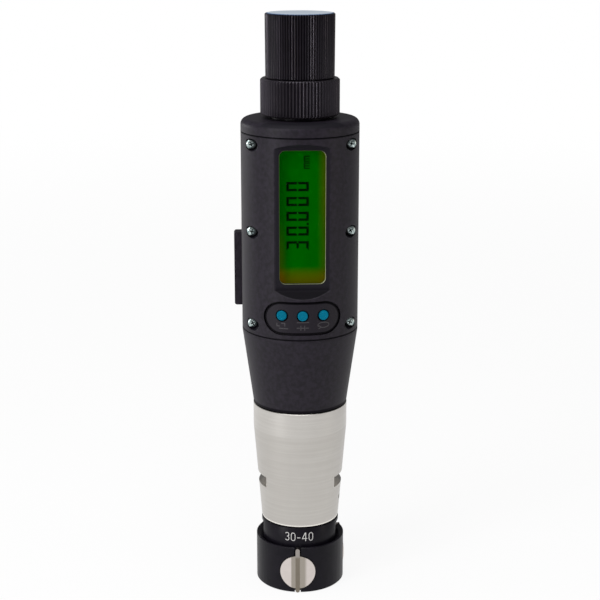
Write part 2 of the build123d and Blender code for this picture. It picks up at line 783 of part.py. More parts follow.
with BuildPart() as front_cover:
    with BuildSketch(Plane.XY.offset(cover_low)):
        Circle(body_radius)
        Circle(cavity_radius, mode=Mode.SUBTRACT)
    extrude(amount=cover_high - cover_low)
    # a flat inner face behind the display and the buttons
    with BuildSketch(Plane.XY.offset(cover_low)):
        Circle(cavity_radius + 0.1)
        with Locations((0, body_radius - inner_flat)):
            Rectangle(3 * body_radius, 2 * body_radius, mode=Mode.SUBTRACT)
    extrude(amount=cover_high - cover_low)
    with BuildSketch(Plane.XZ):
        with Locations(*cover_screw_places):
            Circle(boss_radius)
    extrude(amount=body_radius)
    ring(body_radius, 0, cover_low, cover_high, Mode.INTERSECT)
    block((-2 * body_radius, 2 * body_radius), (-cover_seam, 2 * body_radius), (cover_low, cover_high),
          Mode.SUBTRACT)
    # screw holes, with counterbores for the heads
    with BuildSketch(Plane.XZ.offset(cover_screw_seat)):
        with Locations(*cover_screw_places):
            Circle(counterbore_radius)
    extrude(amount=body_radius, mode=Mode.SUBTRACT)
    with BuildSketch(Plane.XZ):
        with Locations(*cover_screw_places):
            Circle(screw_radius + screw_clearance)
    extrude(amount=body_radius, mode=Mode.SUBTRACT)
    # the flat field round the window, with a ramp at each end
    low_slope = (body_radius - pocket_floor) / (pocket_low_ramp[1] - pocket_low_ramp[0])
    high_slope = (body_radius - pocket_floor) / (pocket_high_ramp[1] - pocket_high_ramp[0])
    with BuildSketch(Plane.YZ):
        outline([
            (-pocket_floor, window_low - pocket_low_ramp[0]),
            (-pocket_floor, window_high + pocket_high_ramp[0]),
            (-pocket_floor - pocket_spare * high_slope, window_high + pocket_high_ramp[0] + pocket_spare),
            (-pocket_floor - pocket_spare * low_slope, window_low - pocket_low_ramp[0] - pocket_spare),
        ])
    extrude(amount=body_radius, both=True, mode=Mode.SUBTRACT)
    with BuildSketch(Plane.XZ.offset(panel_front)):
        with Locations((0, window_level)):
            RectangleRounded(window_width, window_length, window_corner)
    extrude(amount=body_radius, mode=Mode.SUBTRACT)
    # room for the display module
    with BuildSketch(Plane.XZ.offset(cavity_radius / 4)):
        with Locations((0, window_level)):
            Rectangle(panel_width + 2 * free_gap, panel_length + 2 * free_gap)
    extrude(amount=inner_flat - cavity_radius / 4, mode=Mode.SUBTRACT)
    # button holes, opened out behind for the buttons' flanges
    with BuildSketch(Plane.XZ.offset(cavity_radius / 2)):
        with Locations(*button_places):
            Circle(button_flange_radius + free_gap)
    extrude(amount=inner_flat - cavity_radius / 2, mode=Mode.SUBTRACT)
    with BuildSketch(Plane.XZ.offset(cavity_radius / 2)):
        with Locations(*button_places):
            Circle(button_hole_radius)
    extrude(amount=body_radius, mode=Mode.SUBTRACT)
    add(pad_space.part, mode=Mode.SUBTRACT)
save(front_cover, "front_cover")

with BuildPart() as button_pad:
    with BuildSketch(Plane.XZ.offset(body_radius / 2)):
        with Locations((0, pad_level)):
            SlotOverall(pad_width - 2 * pad_groove, pad_length - 2 * pad_groove)
        with Locations(*button_places):
            Circle(button_hole_radius, mode=Mode.SUBTRACT)
    extrude(amount=body_radius)
    ring(pad_surface, body_radius - pad_depth, cover_low, cover_high, Mode.INTERSECT)
save(button_pad, "button_pad")

with BuildPart() as cover_screws:
    with BuildSketch(Plane.XZ.offset(cover_screw_seat)):
        with Locations(*cover_screw_places):
            Circle(screw_head_radius)
    extrude(amount=screw_head_height)
    head_edges = cover_screws.edges().filter_by(GeomType.CIRCLE).group_by(Axis.Y)[0]
    chamfer(head_edges, edge_break)
    with BuildSketch(Plane.XZ.offset(cover_screw_seat)):
        with Locations(*cover_screw_places):
            Circle(screw_radius)
    extrude(amount=-screw_length)
    # the cross recess
    with BuildSketch(Plane.XZ.offset(cover_screw_seat + screw_head_height - cross_depth)):
        with Locations(*cover_screw_places):
            Rectangle(cross_length, cross_width)
            Rectangle(cross_width, cross_length)
    extrude(amount=2 * cross_depth, mode=Mode.SUBTRACT)
save(cover_screws, "cover_screws")

# Window lens, display and circuit board, stacked behind the cover

with BuildPart() as window_lens:
    with BuildSketch(Plane.XZ.offset(panel_front)):
        with Locations((0, window_level)):
            Rectangle(window_width + 2 * lens_flange, window_length + 2 * lens_flange)
    extrude(amount=lens_flange_thickness)
    with BuildSketch(Plane.XZ.offset(inner_flat)):
        with Locations((0, window_level)):
            RectangleRounded(window_width - 2 * slide_gap, window_length - 2 * slide_gap,
                             window_corner - slide_gap)
    extrude(amount=pocket_floor - inner_flat + lens_recess)
save(window_lens, "window_lens")

with BuildPart() as lcd_panel:
    with BuildSketch(Plane.XZ.offset(panel_front)):
        with Locations((0, window_level)):
            Rectangle(panel_width, panel_length)
    extrude(amount=-panel_thickness)
save(lcd_panel, "lcd_panel")

with BuildPart() as light_guide:
    with BuildSketch(Plane.XZ.offset(panel_front - panel_thickness)):
        with Locations((0, window_level)):
            Rectangle(panel_width, panel_length)
    extrude(amount=-light_guide_thickness)
save(light_guide, "light_guide")

with BuildPart() as circuit_board:
    with BuildSketch(Plane.XZ.offset(board_front)):
        with Locations((0, cover_middle)):
            RectangleRounded(board_width, board_length, board_corner)
    extrude(amount=-board_thickness)
save(circuit_board, "circuit_board")

# Three buttons, each over its own switch

switch_face = inner_flat - button_flange_thickness - button_travel - slide_gap
with BuildPart() as button_switches:
    with BuildSketch(Plane.XZ.offset(board_front)):
        with Locations(*button_places):
            Rectangle(switch_size, switch_size)
    extrude(amount=switch_depth)
    with BuildSketch(Plane.XZ.offset(board_front)):
        with Locations(*button_places):
            Circle(plunger_radius)
    extrude(amount=switch_face - board_front)
save(button_switches, "button_switches")

for name, place in zip(("button_left", "button_middle", "button_right"), button_places):
    flange_front = inner_flat - slide_gap
    front = sqrt(pad_surface ** 2 - place[0] ** 2) + button_proud
    with BuildPart() as button:
        with BuildSketch(Plane.XZ.offset(flange_front - button_flange_thickness)):
            with Locations(place):
                Circle(button_flange_radius)
        extrude(amount=button_flange_thickness)
        with BuildSketch(Plane.XZ.offset(flange_front)):
            with Locations(place):
                Circle(button_radius)
        extrude(amount=front - flange_front)
        fillet(button.edges().filter_by(GeomType.CIRCLE).sort_by(Axis.Y)[0], edge_break)
    save(button, name)

# Battery drawer with its coin cell, and the holder that it slides in

with BuildPart() as battery_drawer:
    block((-drawer_face_end, tray_start), (drawer_depth_low, drawer_back), (drawer_low, drawer_high))
    fillet(battery_drawer.edges().filter_by(Axis.Y).group_by(Axis.X)[0], drawer_corner)
    block((tray_start, tray_end), (tray_low, tray_back), (tray_bottom, tray_top))
    with BuildSketch(Plane.XZ.offset(-cell_floor)):
        with Locations((cell_middle, drawer_level)):
            Circle(cell_radius + 2 * slide_gap)
    extrude(amount=-2 * cell_thickness, mode=Mode.SUBTRACT)
    # a notch in the far end lets the contact reach the cell
    block((cell_middle, tray_end), (cell_floor, tray_back),
          (drawer_level - notch_width / 2, drawer_level + notch_width / 2), Mode.SUBTRACT)
save(battery_drawer, "battery_drawer")

with BuildPart() as coin_cell:
    with BuildSketch(Plane.XZ.offset(-cell_floor)):
        with Locations((cell_middle, drawer_level)):
            Circle(cell_radius)
    extrude(amount=-cell_thickness)
    chamfer(coin_cell.edges().group_by(Axis.Y)[0], edge_break)
save(coin_cell, "coin_cell")

holder_front = tray_low - holder_gap
wall_face = tray_end + end_gap
with BuildPart() as battery_holder:
    block((holder_start, wall_face + holder_wall), (holder_front, holder_back), (holder_low, holder_high))
    block((-body_radius, wall_face), (0, tray_back + holder_gap),
          (tray_bottom - holder_gap, tray_top + holder_gap), Mode.SUBTRACT)
    # lips that hold the tray, left of the drive tube
    for z in ((holder_low, tray_bottom + holder_lip), (tray_top - holder_lip, holder_high)):
        block((holder_start, -tube_radius - 2 * free_gap), (holder_front - holder_lip_depth, holder_front), z)
    with BuildSketch(Plane.XZ.offset(-tray_low)):
        with Locations(*post_spots):
            Circle(post_pin_radius + seat_gap)
    extrude(amount=-2 * drawer_thickness, mode=Mode.SUBTRACT)
save(battery_holder, "battery_holder")

with BuildPart() as battery_contacts:
    # a spring finger on the cell's rim, folded from the end wall
    contact_sides = (drawer_level - contact_width / 2, drawer_level + contact_width / 2)
    contact_level = cell_floor + contact_lift
    block((wall_face - contact_thickness, wall_face), (cell_floor + end_gap, tray_back), contact_sides)
    block((cell_middle + cell_radius + 2 * slide_gap, wall_face - contact_thickness),
          (contact_level, contact_level + contact_thickness), contact_sides)
    # a flat strip on the holder's back, against the cell's face
    strip_level = drawer_level + strip_contact_rise
    strip_face = tray_back + holder_gap
    block((cell_middle - strip_contact_end, cell_middle - strip_contact_start),
          (strip_face - strip_contact_thickness, strip_face),
          (strip_level, strip_level + strip_contact_width))
save(battery_contacts, "battery_contacts")

# Encoder on the drive tube

with BuildPart() as encoder_stator:
    ring(stator_radius, tube_radius + stator_clearance, stator_low, bulkhead_low)
save(encoder_stator, "encoder_stator")

with BuildPart() as encoder_rotor:
    ring(rotor_radius, tube_radius + seat_gap, rotor_low, rotor_low + rotor_thickness)
save(encoder_rotor, "encoder_rotor")

with BuildPart() as rotor_collar:
    ring(rotor_collar_radius, tube_radius + seat_gap, rotor_low - rotor_collar_height, rotor_low)
    block((0, 2 * rotor_collar_radius), (-rotor_collar_split / 2, rotor_collar_split / 2),
          (rotor_low - rotor_collar_height, rotor_low), Mode.SUBTRACT)
save(rotor_collar, "rotor_collar")

# Drive tube and key

with BuildPart() as drive_tube:
    ring(tube_radius, tube_bore, tube_low, tube_top)
    block((-key_width / 2, key_width / 2), (-2 * tube_radius, 0), (key_low, key_top), Mode.SUBTRACT)
save(drive_tube, "drive_tube")

with BuildPart() as drive_key:
    block((-key_width / 2, key_width / 2), (-2 * tube_radius, -key_reach), (key_low, key_top))
    ring(tube_radius, 0, key_low, key_top, Mode.INTERSECT)
save(drive_key, "drive_key")

# Upper bush and seal in the housing's top

with BuildPart() as top_bush:
    turned([
        (tube_radius + slide_gap, body_top - top_bush_depth), (top_bush_radius, body_top - top_bush_depth),
        (top_bush_radius, body_top), (top_bush_flange_radius, body_top),
        (top_bush_flange_radius, body_top + top_bush_flange), (seal_radius, body_top + top_bush_flange),
        (seal_radius, body_top + top_bush_flange - seal_depth),
        (tube_radius + slide_gap, body_top + top_bush_flange - seal_depth),
    ])
save(top_bush, "top_bush")

with BuildPart() as top_seal:
    ring(seal_radius - seat_gap, tube_radius + slide_gap, body_top + top_bush_flange - seal_depth,
         body_top + top_bush_flange)
save(top_seal, "top_seal")

# Thimble ring with its hub

with BuildPart() as thimble:
    with BuildSketch(Plane.XY.offset(thimble_low)):
        ribbed(thimble_radius + crest_flat, thimble_radius - thimble_tooth_depth, thimble_teeth)
    extrude(amount=thimble_height)
    chamfered = thimble_radius - thimble_chamfer
    turned([
        (0, thimble_low), (chamfered, thimble_low), (thimble_radius, thimble_low + thimble_chamfer),
        (thimble_radius, thimble_top - thimble_chamfer), (chamfered, thimble_top), (0, thimble_top),
    ], Mode.INTERSECT)
    ring(thimble_rim_inner, hub_radius, thimble_low + thimble_web, thimble_top, Mode.SUBTRACT)
    ring(hub_radius, 0, thimble_low, hub_top)
    ring(tube_radius + seat_gap, 0, thimble_low, hub_top, Mode.SUBTRACT)
save(thimble, "thimble")

# Slipping clutch in the knob: friction washer, knob web, thrust washer, spring and screw

with BuildPart() as friction_washer:
    ring(hub_radius, tube_radius + slide_gap, hub_top, hub_top + friction_thickness)
save(friction_washer, "friction_washer")

with BuildPart() as thrust_washer:
    ring(hub_radius - 0.5, shaft_radius + slide_gap, tube_top, tube_top + thrust_thickness)
save(thrust_washer, "thrust_washer")

with BuildPart() as clutch_spring:
    coil_height = spring_height - spring_wire - 4 * slide_gap
    with BuildLine():
        coil = Helix(coil_height / spring_turns, coil_height, spring_radius,
                     center=(0, 0, spring_low + 2 * slide_gap + spring_wire / 2))
    with BuildSketch(Plane(coil @ 0, z_dir=coil % 0)):
        Rectangle(spring_wire, spring_wire)
    sweep(path=coil, is_frenet=True)
save(clutch_spring, "clutch_spring")

with BuildPart() as clutch_screw:
    shank = tube_bore - seat_gap
    turned([
        (0, tube_top - clutch_shank_depth), (shank, tube_top - clutch_shank_depth), (shank, spring_top),
        (clutch_head_radius, spring_top), (clutch_head_radius, clutch_top - clutch_chamfer),
        (clutch_head_radius - clutch_chamfer, clutch_top), (0, clutch_top),
    ])
    block((-clutch_head_radius, clutch_head_radius), (-clutch_slot_width / 2, clutch_slot_width / 2),
          (clutch_top - clutch_slot_depth, clutch_top), Mode.SUBTRACT)
save(clutch_screw, "clutch_screw")

# Ribbed knob with its end disc

with BuildPart() as knob:
    with BuildSketch(Plane.XY.offset(knob_low)):
        ribbed(knob_high_radius + crest_flat, knob_high_radius - knob_rib_depth, knob_ribs)
    extrude(amount=knob_top - knob_low)
    turned([
        (0, knob_low), (knob_low_radius - knob_chamfer, knob_low),
        (knob_low_radius, knob_low + knob_chamfer), (knob_high_radius, knob_top - knob_chamfer),
        (knob_high_radius - knob_chamfer, knob_top), (0, knob_top),
    ], Mode.INTERSECT)
    ring(knob_skirt_inner, 0, knob_low, web_low, Mode.SUBTRACT)
    ring(knob_cavity_radius, 0, web_top, disc_low, Mode.SUBTRACT)
    ring(disc_radius + seat_gap, 0, disc_low, knob_top, Mode.SUBTRACT)
    ring(tube_radius + slide_gap, 0, web_low, web_top, Mode.SUBTRACT)
save(knob, "knob")

with BuildPart() as knob_disc:
    ring(disc_radius, 0, disc_low, disc_low + disc_thickness)
    chamfer(knob_disc.edges().filter_by(GeomType.CIRCLE).sort_by(Axis.Z)[-1], disc_chamfer)
save(knob_disc, "knob_disc")
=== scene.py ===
import bpy
import bmesh
import json
from math import cos, pi, radians, sin, sqrt
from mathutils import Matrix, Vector

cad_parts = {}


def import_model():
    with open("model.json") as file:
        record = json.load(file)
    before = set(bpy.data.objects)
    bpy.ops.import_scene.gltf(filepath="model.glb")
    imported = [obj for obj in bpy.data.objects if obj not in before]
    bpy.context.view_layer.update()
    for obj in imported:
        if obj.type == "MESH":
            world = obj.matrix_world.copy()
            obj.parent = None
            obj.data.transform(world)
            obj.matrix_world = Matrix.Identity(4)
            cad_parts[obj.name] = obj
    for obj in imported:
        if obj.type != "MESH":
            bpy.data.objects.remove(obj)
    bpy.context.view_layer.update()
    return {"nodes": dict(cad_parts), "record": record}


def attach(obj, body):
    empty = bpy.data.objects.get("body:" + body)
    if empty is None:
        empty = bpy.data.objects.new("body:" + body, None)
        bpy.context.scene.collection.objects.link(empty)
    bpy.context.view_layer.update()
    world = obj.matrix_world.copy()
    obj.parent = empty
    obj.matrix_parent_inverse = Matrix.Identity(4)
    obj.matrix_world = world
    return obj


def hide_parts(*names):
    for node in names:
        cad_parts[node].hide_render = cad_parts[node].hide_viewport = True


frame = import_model()
nodes = frame["nodes"]
mm = 0.001
slotOf = {row["node"]: row["material_slot"] for row in frame["record"]["subparts"]}
bodyOf = {node: body for body, held in frame["record"]["behaviour"]["bodies"].items() for node in held}
print("frame loaded:", len(nodes), "nodes")


# Sums on sockets, and one way to add a node, for shaders and geometry alike

class Wire:
    def __init__(self, graph, socket):
        self.graph = graph
        self.socket = socket

    def out(self, name):
        return Wire(self.graph, self.socket.node.outputs[name])

    def maths(self, operation, first, second=None, third=None, clamp=False):
        inputs = {i: v for i, v in enumerate((first, second, third)) if v is not None}
        return self.graph.add("ShaderNodeMath", {"operation": operation, "use_clamp": clamp}, inputs)

    def __add__(self, other):
        return self.maths("ADD", self, other)

    def __radd__(self, other):
        return self.maths("ADD", other, self)

    def __sub__(self, other):
        return self.maths("SUBTRACT", self, other)

    def __rsub__(self, other):
        return self.maths("SUBTRACT", other, self)

    def __mul__(self, other):
        return self.maths("MULTIPLY", self, other)

    def __rmul__(self, other):
        return self.maths("MULTIPLY", other, self)

    def __truediv__(self, other):
        return self.maths("DIVIDE", self, other)

    def __mod__(self, other):
        return self.maths("MODULO", self, other)

    def __pow__(self, other):
        return self.maths("POWER", self, other)

    def __abs__(self):
        return self.maths("ABSOLUTE", self)

    def least(self, other):
        return self.maths("MINIMUM", self, other)

    def most(self, other):
        return self.maths("MAXIMUM", self, other)

    def above(self, other):
        return self.maths("GREATER_THAN", self, other)

    def limited(self):
        return self.maths("ADD", self, 0.0, clamp=True)

    def sine(self):
        return self.maths("SINE", self)

    def cosine(self):
        return self.maths("COSINE", self)

    def rise(self, low, high):                        # 0 below low, 1 above high, smooth between
        return self.graph.add("ShaderNodeMapRange", {"interpolation_type": "SMOOTHSTEP"},
                              {"Value": self, "From Min": low, "From Max": high})

    def fall(self, low, high):                        # 1 below low, 0 above high
        return 1 - self.rise(low, high)


class Graph:
    def __init__(self, tree):
        self.tree = tree

    def add(self, kind, settings=None, inputs=None, output=0):
        node = self.tree.nodes.new(kind)
        for key, value in (settings or {}).items():
            setattr(node, key, value)
        for key, value in (inputs or {}).items():
            for item in value if isinstance(value, list) else [value]:
                if isinstance(item, Wire):
                    self.tree.links.new(item.socket, node.inputs[key])
                else:
                    node.inputs[key].default_value = item
        return Wire(self, node.outputs[output]) if node.outputs else node

    def place(self):                                  # Object coordinates as x, y and z in millimetres
        here = self.add("ShaderNodeTexCoord", output="Object")
        return self.add("ShaderNodeVectorMath", {"operation": "SCALE"}, {0: here, "Scale": 1 / mm})

    def axes(self):
        split = self.add("ShaderNodeSeparateXYZ", None, {0: self.place()})
        return split.out("X"), split.out("Y"), split.out("Z")

    def sized(self, size, stretch):
        # coordinates in which one unit is this many millimetres
        spread = tuple(s / size for s in stretch)
        return self.add("ShaderNodeMapping", None, {"Vector": self.place(), "Scale": spread})

    def grain(self, size, detail=2.0, stretch=(1, 1, 1), rough=0.55):
        # noise whose lumps are about this many millimetres across
        return self.add("ShaderNodeTexNoise", None, {"Vector": self.sized(size, stretch), "Scale": 1.0,
                                                     "Detail": detail, "Roughness": rough})

    def cells(self, size, stretch=(1, 1, 1)):
        return self.add("ShaderNodeTexVoronoi", None, {"Vector": self.sized(size, stretch), "Scale": 1.0})

    def blend(self, factor, first, second):
        return self.add("ShaderNodeMix", {"data_type": "RGBA", "clamp_factor": True},
                        {0: factor, 6: first, 7: second}, output=2)

    def bump(self, height, lift, normal=None):
        # height runs from 0 to 1, and lift is what that is in millimetres
        inputs = {"Height": height, "Distance": lift * mm}
        if normal:
            inputs["Normal"] = normal
        return self.add("ShaderNodeBump", None, inputs)

    def shader(self, values):
        return self.add("ShaderNodeBsdfPrincipled", None, values)

    def surface(self, values):
        self.show(self.shader(values))

    def show(self, shader):
        self.add("ShaderNodeOutputMaterial", None, {"Surface": shader})


def rgb(red, green, blue):
    # a colour as it is seen, 0 to 255, as Blender wants it
    def linear(v):
        v = v / 255
        return v / 12.92 if v <= 0.04045 else ((v + 0.055) / 1.055) ** 2.4
    return (linear(red), linear(green), linear(blue), 1.0)


def newGraph(name):
    material = bpy.data.materials.new(name)
    material.use_nodes = True
    material.node_tree.nodes.clear()
    return material, Graph(material.node_tree)


# Plastics

def heights(name):
    # the lowest and highest level of a solid, in millimetres
    levels = [corner[2] / mm for corner in nodes[name].bound_box]
    return min(levels), max(levels)


# pairs are where a mask starts and ends: radii, levels and, with a minus, how far to the front
mouldedLook = {"dark": rgb(19, 15, 23), "light": rgb(32, 27, 37), "field": rgb(12, 9, 19),
               "ramp": rgb(5, 3, 9), "grainSize": 0.34, "grainLift": 0.014, "mottleSize": 1.3,
               "roughness": 0.5, "roughnessSpread": 0.13, "fieldRadius": (18.35, 18.66),
               "fieldFront": (-13.5, -12.5), "fieldLow": (100, 101.2), "rampFront": (-16.95, -16.6),
               "rampTop": (126, 128), "sillTop": (104.2, 105.8), "footTop": (0.85, 1.3),
               "jointHalf": (0.14, 0.36), "jointFront": (-1, 0), "jointRadius": (17.2, 17.6)}


def mouldedBlack():
    look = mouldedLook
    material, g = newGraph("mouldedBlack")
    x, y, z = g.axes()
    radius = (x * x + y * y) ** 0.5
    inField = radius.fall(*look["fieldRadius"]) * y.fall(*look["fieldFront"]) * z.rise(*look["fieldLow"])
    # the ramp below the window is painted near-black as painted shade, and the sill under the window a little
    # less
    onRamp = inField * y.fall(*look["rampFront"]) * z.fall(*look["rampTop"])
    shadeUnderWindow = inField * z.fall(*look["sillTop"]) * (1 - onRamp)
    # painted shade along the housing's bottom edge, just above the sleeve
    foot = z.fall(*[heights("sleeve")[1] + rise for rise in look["footTop"]])
    mottle = g.grain(look["mottleSize"], 3.0)
    pores = g.cells(look["grainSize"])
    tint = g.blend(mottle.rise(0.3, 0.7), look["dark"], look["light"])
    tint = g.blend(inField * 0.9, tint, look["field"])
    # how much of the near-black shader shows: the painted shade above, then the dark joint lines
    dark = onRamp + shadeUnderWindow * 0.7 + foot
    for level in heights("front_cover"):              # the joint round the front cover is a dark line
        joint = abs(z - level).fall(*look["jointHalf"]) * y.fall(*look["jointFront"])
        dark = dark + joint * radius.rise(*look["jointRadius"])
    fine = g.grain(look["grainSize"] * 0.7, 2.0)
    lifted = g.bump(pores * 0.7 + fine * 0.6, look["grainLift"])
    skin = g.shader({
        "Base Color": tint, "Specular IOR Level": 0.21, "Normal": lifted,
        "Roughness": look["roughness"] + (mottle - 0.5) * look["roughnessSpread"] + inField * 0.2})
    # near-black shader that carries the painted shade and the joint lines
    shaded = g.shader({"Base Color": look["ramp"], "Specular IOR Level": 0.08, "Roughness": 0.6,
                       "Normal": lifted})
    g.show(g.add("ShaderNodeMixShader", None, {0: dark.limited() * 0.9, 1: skin, 2: shaded}))
    return material


padLook = {"dark": rgb(18, 14, 22), "light": rgb(27, 22, 31), "edge": rgb(3, 2, 5), "edgeShadeStart": 0.5,
           "edgeShadeEnd": 0.26, "mottleSize": 0.9, "grainSize": 0.16, "grainLift": 0.006}


def padBlack():
    look = padLook
    material, g = newGraph("padBlack")
    x, y, z = g.axes()
    low, high = heights("button_pad")
    half, level = (high - low) / 2, (high + low) / 2
    side = max(corner[0] for corner in nodes["button_pad"].bound_box) / mm - half
    beyond = (abs(x) - side).most(0.0)
    reach = (beyond * beyond + (z - level) * (z - level)) ** 0.5
    # the rolled edge is painted as dark as the groove round it, as painted shade
    edge = reach.rise(half - look["edgeShadeStart"], half - look["edgeShadeEnd"])
    mottle = g.grain(look["mottleSize"], 3.0)
    lifted = g.bump(g.grain(look["grainSize"], 2.0), look["grainLift"])
    skin = g.shader({"Base Color": g.blend(mottle, look["dark"], look["light"]), "Specular IOR Level": 0.2,
                     "Normal": lifted, "Roughness": 0.44 + (mottle - 0.5) * 0.12})
    # near-black shader for the painted shade on the rolled edge
    shaded = g.shader({"Base Color": look["edge"], "Specular IOR Level": 0.05, "Roughness": 0.6,
                       "Normal": lifted})
    g.show(g.add("ShaderNodeMixShader", None, {0: edge * 0.95, 1: skin, 2: shaded}))
    return material


def ribBlack(name, dark, light, roughness, gloss):
    material, g = newGraph(name)
    dust = g.grain(0.5, 4.0, rough=0.7)
    wear = g.grain(3.0, 3.0)
    g.surface({"Base Color": g.blend(wear.rise(0.35, 0.75), dark, light),
               "Roughness": roughness + dust * 0.08, "Specular IOR Level": gloss,
               "Specular Tint": (0.94, 0.86, 1.0, 1.0),
               "Normal": g.bump(g.grain(0.3, 2.0, stretch=(1, 1, 0.1)), 0.0008)})
    return material


discLook = {"dark": rgb(164, 179, 193), "light": rgb(190, 198, 207), "edge": rgb(6, 78, 134),
            "edgeRadius": (10.0, 10.15)}


def discPale():
    look = discLook
    material, g = newGraph("discPale")
    x, y, z = g.axes()
    edge = ((x * x + y * y) ** 0.5).rise(*look["edgeRadius"])
    cloud = g.grain(4.0, 2.0)
    tint = g.blend(edge, g.blend(cloud, look["dark"], look["light"]), look["edge"])
    g.surface({"Base Color": tint, "Roughness": 0.32 + cloud * 0.08, "Specular IOR Level": 0.3,
               "Normal": g.bump(g.grain(0.12, 2.0), 0.002)})
    return material


def buttonBlue():
    material, g = newGraph("buttonBlue")
    cloud = g.grain(0.8, 3.0)
    g.surface({"Base Color": g.blend(cloud, rgb(0, 88, 113), rgb(0, 106, 132)), "Specular IOR Level": 0.05,
               "Roughness": 0.42 + (cloud - 0.5) * 0.1, "Normal": g.bump(g.grain(0.12, 2.0), 0.005)})
    return material


def plainMoulding(name, dark, light, roughness, grainSize=0.3, lift=0.008):
    material, g = newGraph(name)
    cloud = g.grain(grainSize * 4, 3.0)
    g.surface({"Base Color": g.blend(cloud, dark, light), "Roughness": roughness + (cloud - 0.5) * 0.14,
               "Normal": g.bump(g.grain(grainSize, 2.0), lift)})
    return material


# Metals

anvilTurns = {"anvil_%d" % (i + 1): -95.7 + 120 * i for i in range(3)}
anvilLook = {"level": 7.3, "boreRadius": (6.0, 6.12), "boreFrom": 13, "middleShadeStart": (-2.25, -1.95),
             "middleShadeEnd": (2.1, 3.3)}
sleeveLook = {"band": (54.55, 54.75), "shadeStart": 0.3, "shadeEnd": 0.12, "lipStart": 0.6, "lipEnd": 0.8,
              "flatTurn": -2.0, "flatAcross": 22.3, "flatLow": 12.3, "flatHeight": 3.8, "flatDepth": 0.04,
              "flatMargin": 0.02}


def turnedBy(x, y, turn):
    # how far out a point lies in the direction of an angle, and how far to its side
    a = radians(turn)
    return x * cos(a) + y * sin(a), y * cos(a) - x * sin(a)


def satinNickel():
    look = sleeveLook
    material, g = newGraph("satinNickel")
    x, y, z = g.axes()
    band = z.rise(*look["band"])
    low, top = heights("sleeve")
    # the top edge is painted dark as the housing's shadow, and the bottom edge is painted lighter as a
    # highlight
    shade = z.rise(top - look["shadeStart"], top - look["shadeEnd"])
    lipHighlight = z.fall(low + look["lipStart"], low + look["lipEnd"])
    # the spanner flats are painted lighter: a painted reflection of the light they catch
    flatLevel = low + look["flatLow"] + look["flatHeight"] / 2
    out, side = turnedBy(x, y, look["flatTurn"])
    flatHighlight = ((1 - abs(abs(out) - look["flatAcross"] / 2).above(look["flatDepth"]))
              * (1 - abs(z - flatLevel).above(look["flatHeight"] / 2 + look["flatMargin"])))
    sweep = g.grain(0.55, 3.0, stretch=(0.02, 0.02, 1), rough=0.6)
    turning = g.grain(0.09, 2.0, stretch=(0.02, 0.02, 1), rough=0.6)
    pearls = g.grain(0.22, 3.0, rough=0.65)
    cloud = g.grain(9.0, 3.0)
    tint = g.blend(cloud, rgb(190, 186, 181), rgb(200, 197, 192))
    tint = g.blend(band * 0.3, tint, rgb(216, 213, 209))
    tint = g.blend(sweep.rise(0.3, 0.7) * 0.3, tint, rgb(176, 172, 166))
    tint = g.blend(pearls.rise(0.45, 0.95) * 0.16, tint, rgb(164, 159, 154))
    # painted highlight on the bottom edge and painted reflection on the flats
    tint = g.blend((lipHighlight + flatHighlight * 0.8).limited(), tint, rgb(240, 236, 229))
    tint = g.blend(shade * 0.97, tint, rgb(20, 18, 16))
    rough = 0.36 + (turning - 0.5) * 0.09 + (pearls - 0.5) * 0.1 - band * 0.05
    lines = g.bump(turning, 0.005)
    g.surface({"Base Color": tint, "Metallic": 1.0, "Roughness": rough,
               "Normal": g.bump(pearls, 0.006, normal=lines)})
    return material


def blackOxide():
    material, g = newGraph("blackOxide")
    x, y, z = g.axes()
    turning = g.grain(0.12, 2.0, stretch=(0.02, 0.02, 1))
    cloud = g.grain(3.5, 4.0, rough=0.6)
    speck = g.grain(0.3, 3.0, rough=0.7)
    tint = g.blend(cloud.rise(0.3, 0.7), rgb(11, 9, 16), rgb(18, 15, 23))
    tint = g.blend(speck.rise(0.62, 0.85) * 0.3, tint, rgb(42, 38, 42))
    look = anvilLook
    # painted shade: a near-black ring on the flange round each anvil, for the shadow in its bore's gap
    for turn in anvilTurns.values():                  # a dark line shows round each anvil in its bore
        out, side = turnedBy(x, y, turn)
        reach = (side * side + (z - look["level"]) * (z - look["level"])) ** 0.5
        boreShade = out.above(look["boreFrom"]) * reach.fall(*look["boreRadius"])
        tint = g.blend(boreShade, tint, rgb(2, 2, 3))
    g.surface({"Base Color": tint, "Specular IOR Level": 0.13,
               "Roughness": 0.38 + (cloud - 0.5) * 0.14 + (turning - 0.5) * 0.06,
               "Normal": g.bump(speck, 0.004, normal=g.bump(turning, 0.003))})
    return material


def metal(name, dark, light, roughness, lineSize=0.1, stretch=(0.03, 0.03, 1), lift=0.003, spread=0.12):
    # a machined or drawn metal, with lines at right angles to the longest stretch
    material, g = newGraph(name)
    lines = g.grain(lineSize, 2.0, stretch=stretch, rough=0.6)
    cloud = g.grain(2.5, 3.0)
    tint = g.blend(cloud * 0.6 + lines * 0.4, dark, light)
    g.surface({"Base Color": tint, "Metallic": 1.0,
               "Roughness": roughness + (lines - 0.5) * spread + (cloud - 0.5) * spread * 0.5,
               "Normal": g.bump(lines, lift)})
    return material


def anvilSteel(turn):
    # the end face is ground bright, with a darker band of painted shade down its middle beside the strip, for
    # the middle facet's slope; that band is also a little smoother
    material, g = newGraph("anvilSteel")
    x, y, z = g.axes()
    out, side = turnedBy(x, y, turn)
    lines = g.grain(0.1, 2.0, stretch=(1, 1, 0.03), rough=0.6)
    cloud = g.grain(2.5, 3.0)
    middleShade = side.rise(*anvilLook["middleShadeStart"]) * side.fall(*anvilLook["middleShadeEnd"])
    tint = g.blend(cloud * 0.6 + lines * 0.4, rgb(200, 191, 186), rgb(222, 214, 209))
    # the middle band's painted shade
    tint = g.blend(middleShade * 0.85, tint, rgb(150, 143, 132))
    g.surface({"Base Color": tint, "Metallic": 1.0, "Roughness": 0.36 + (lines - 0.5) * 0.12 - middleShade * 0.06,
               "Normal": g.bump(lines, 0.003)})
    return material


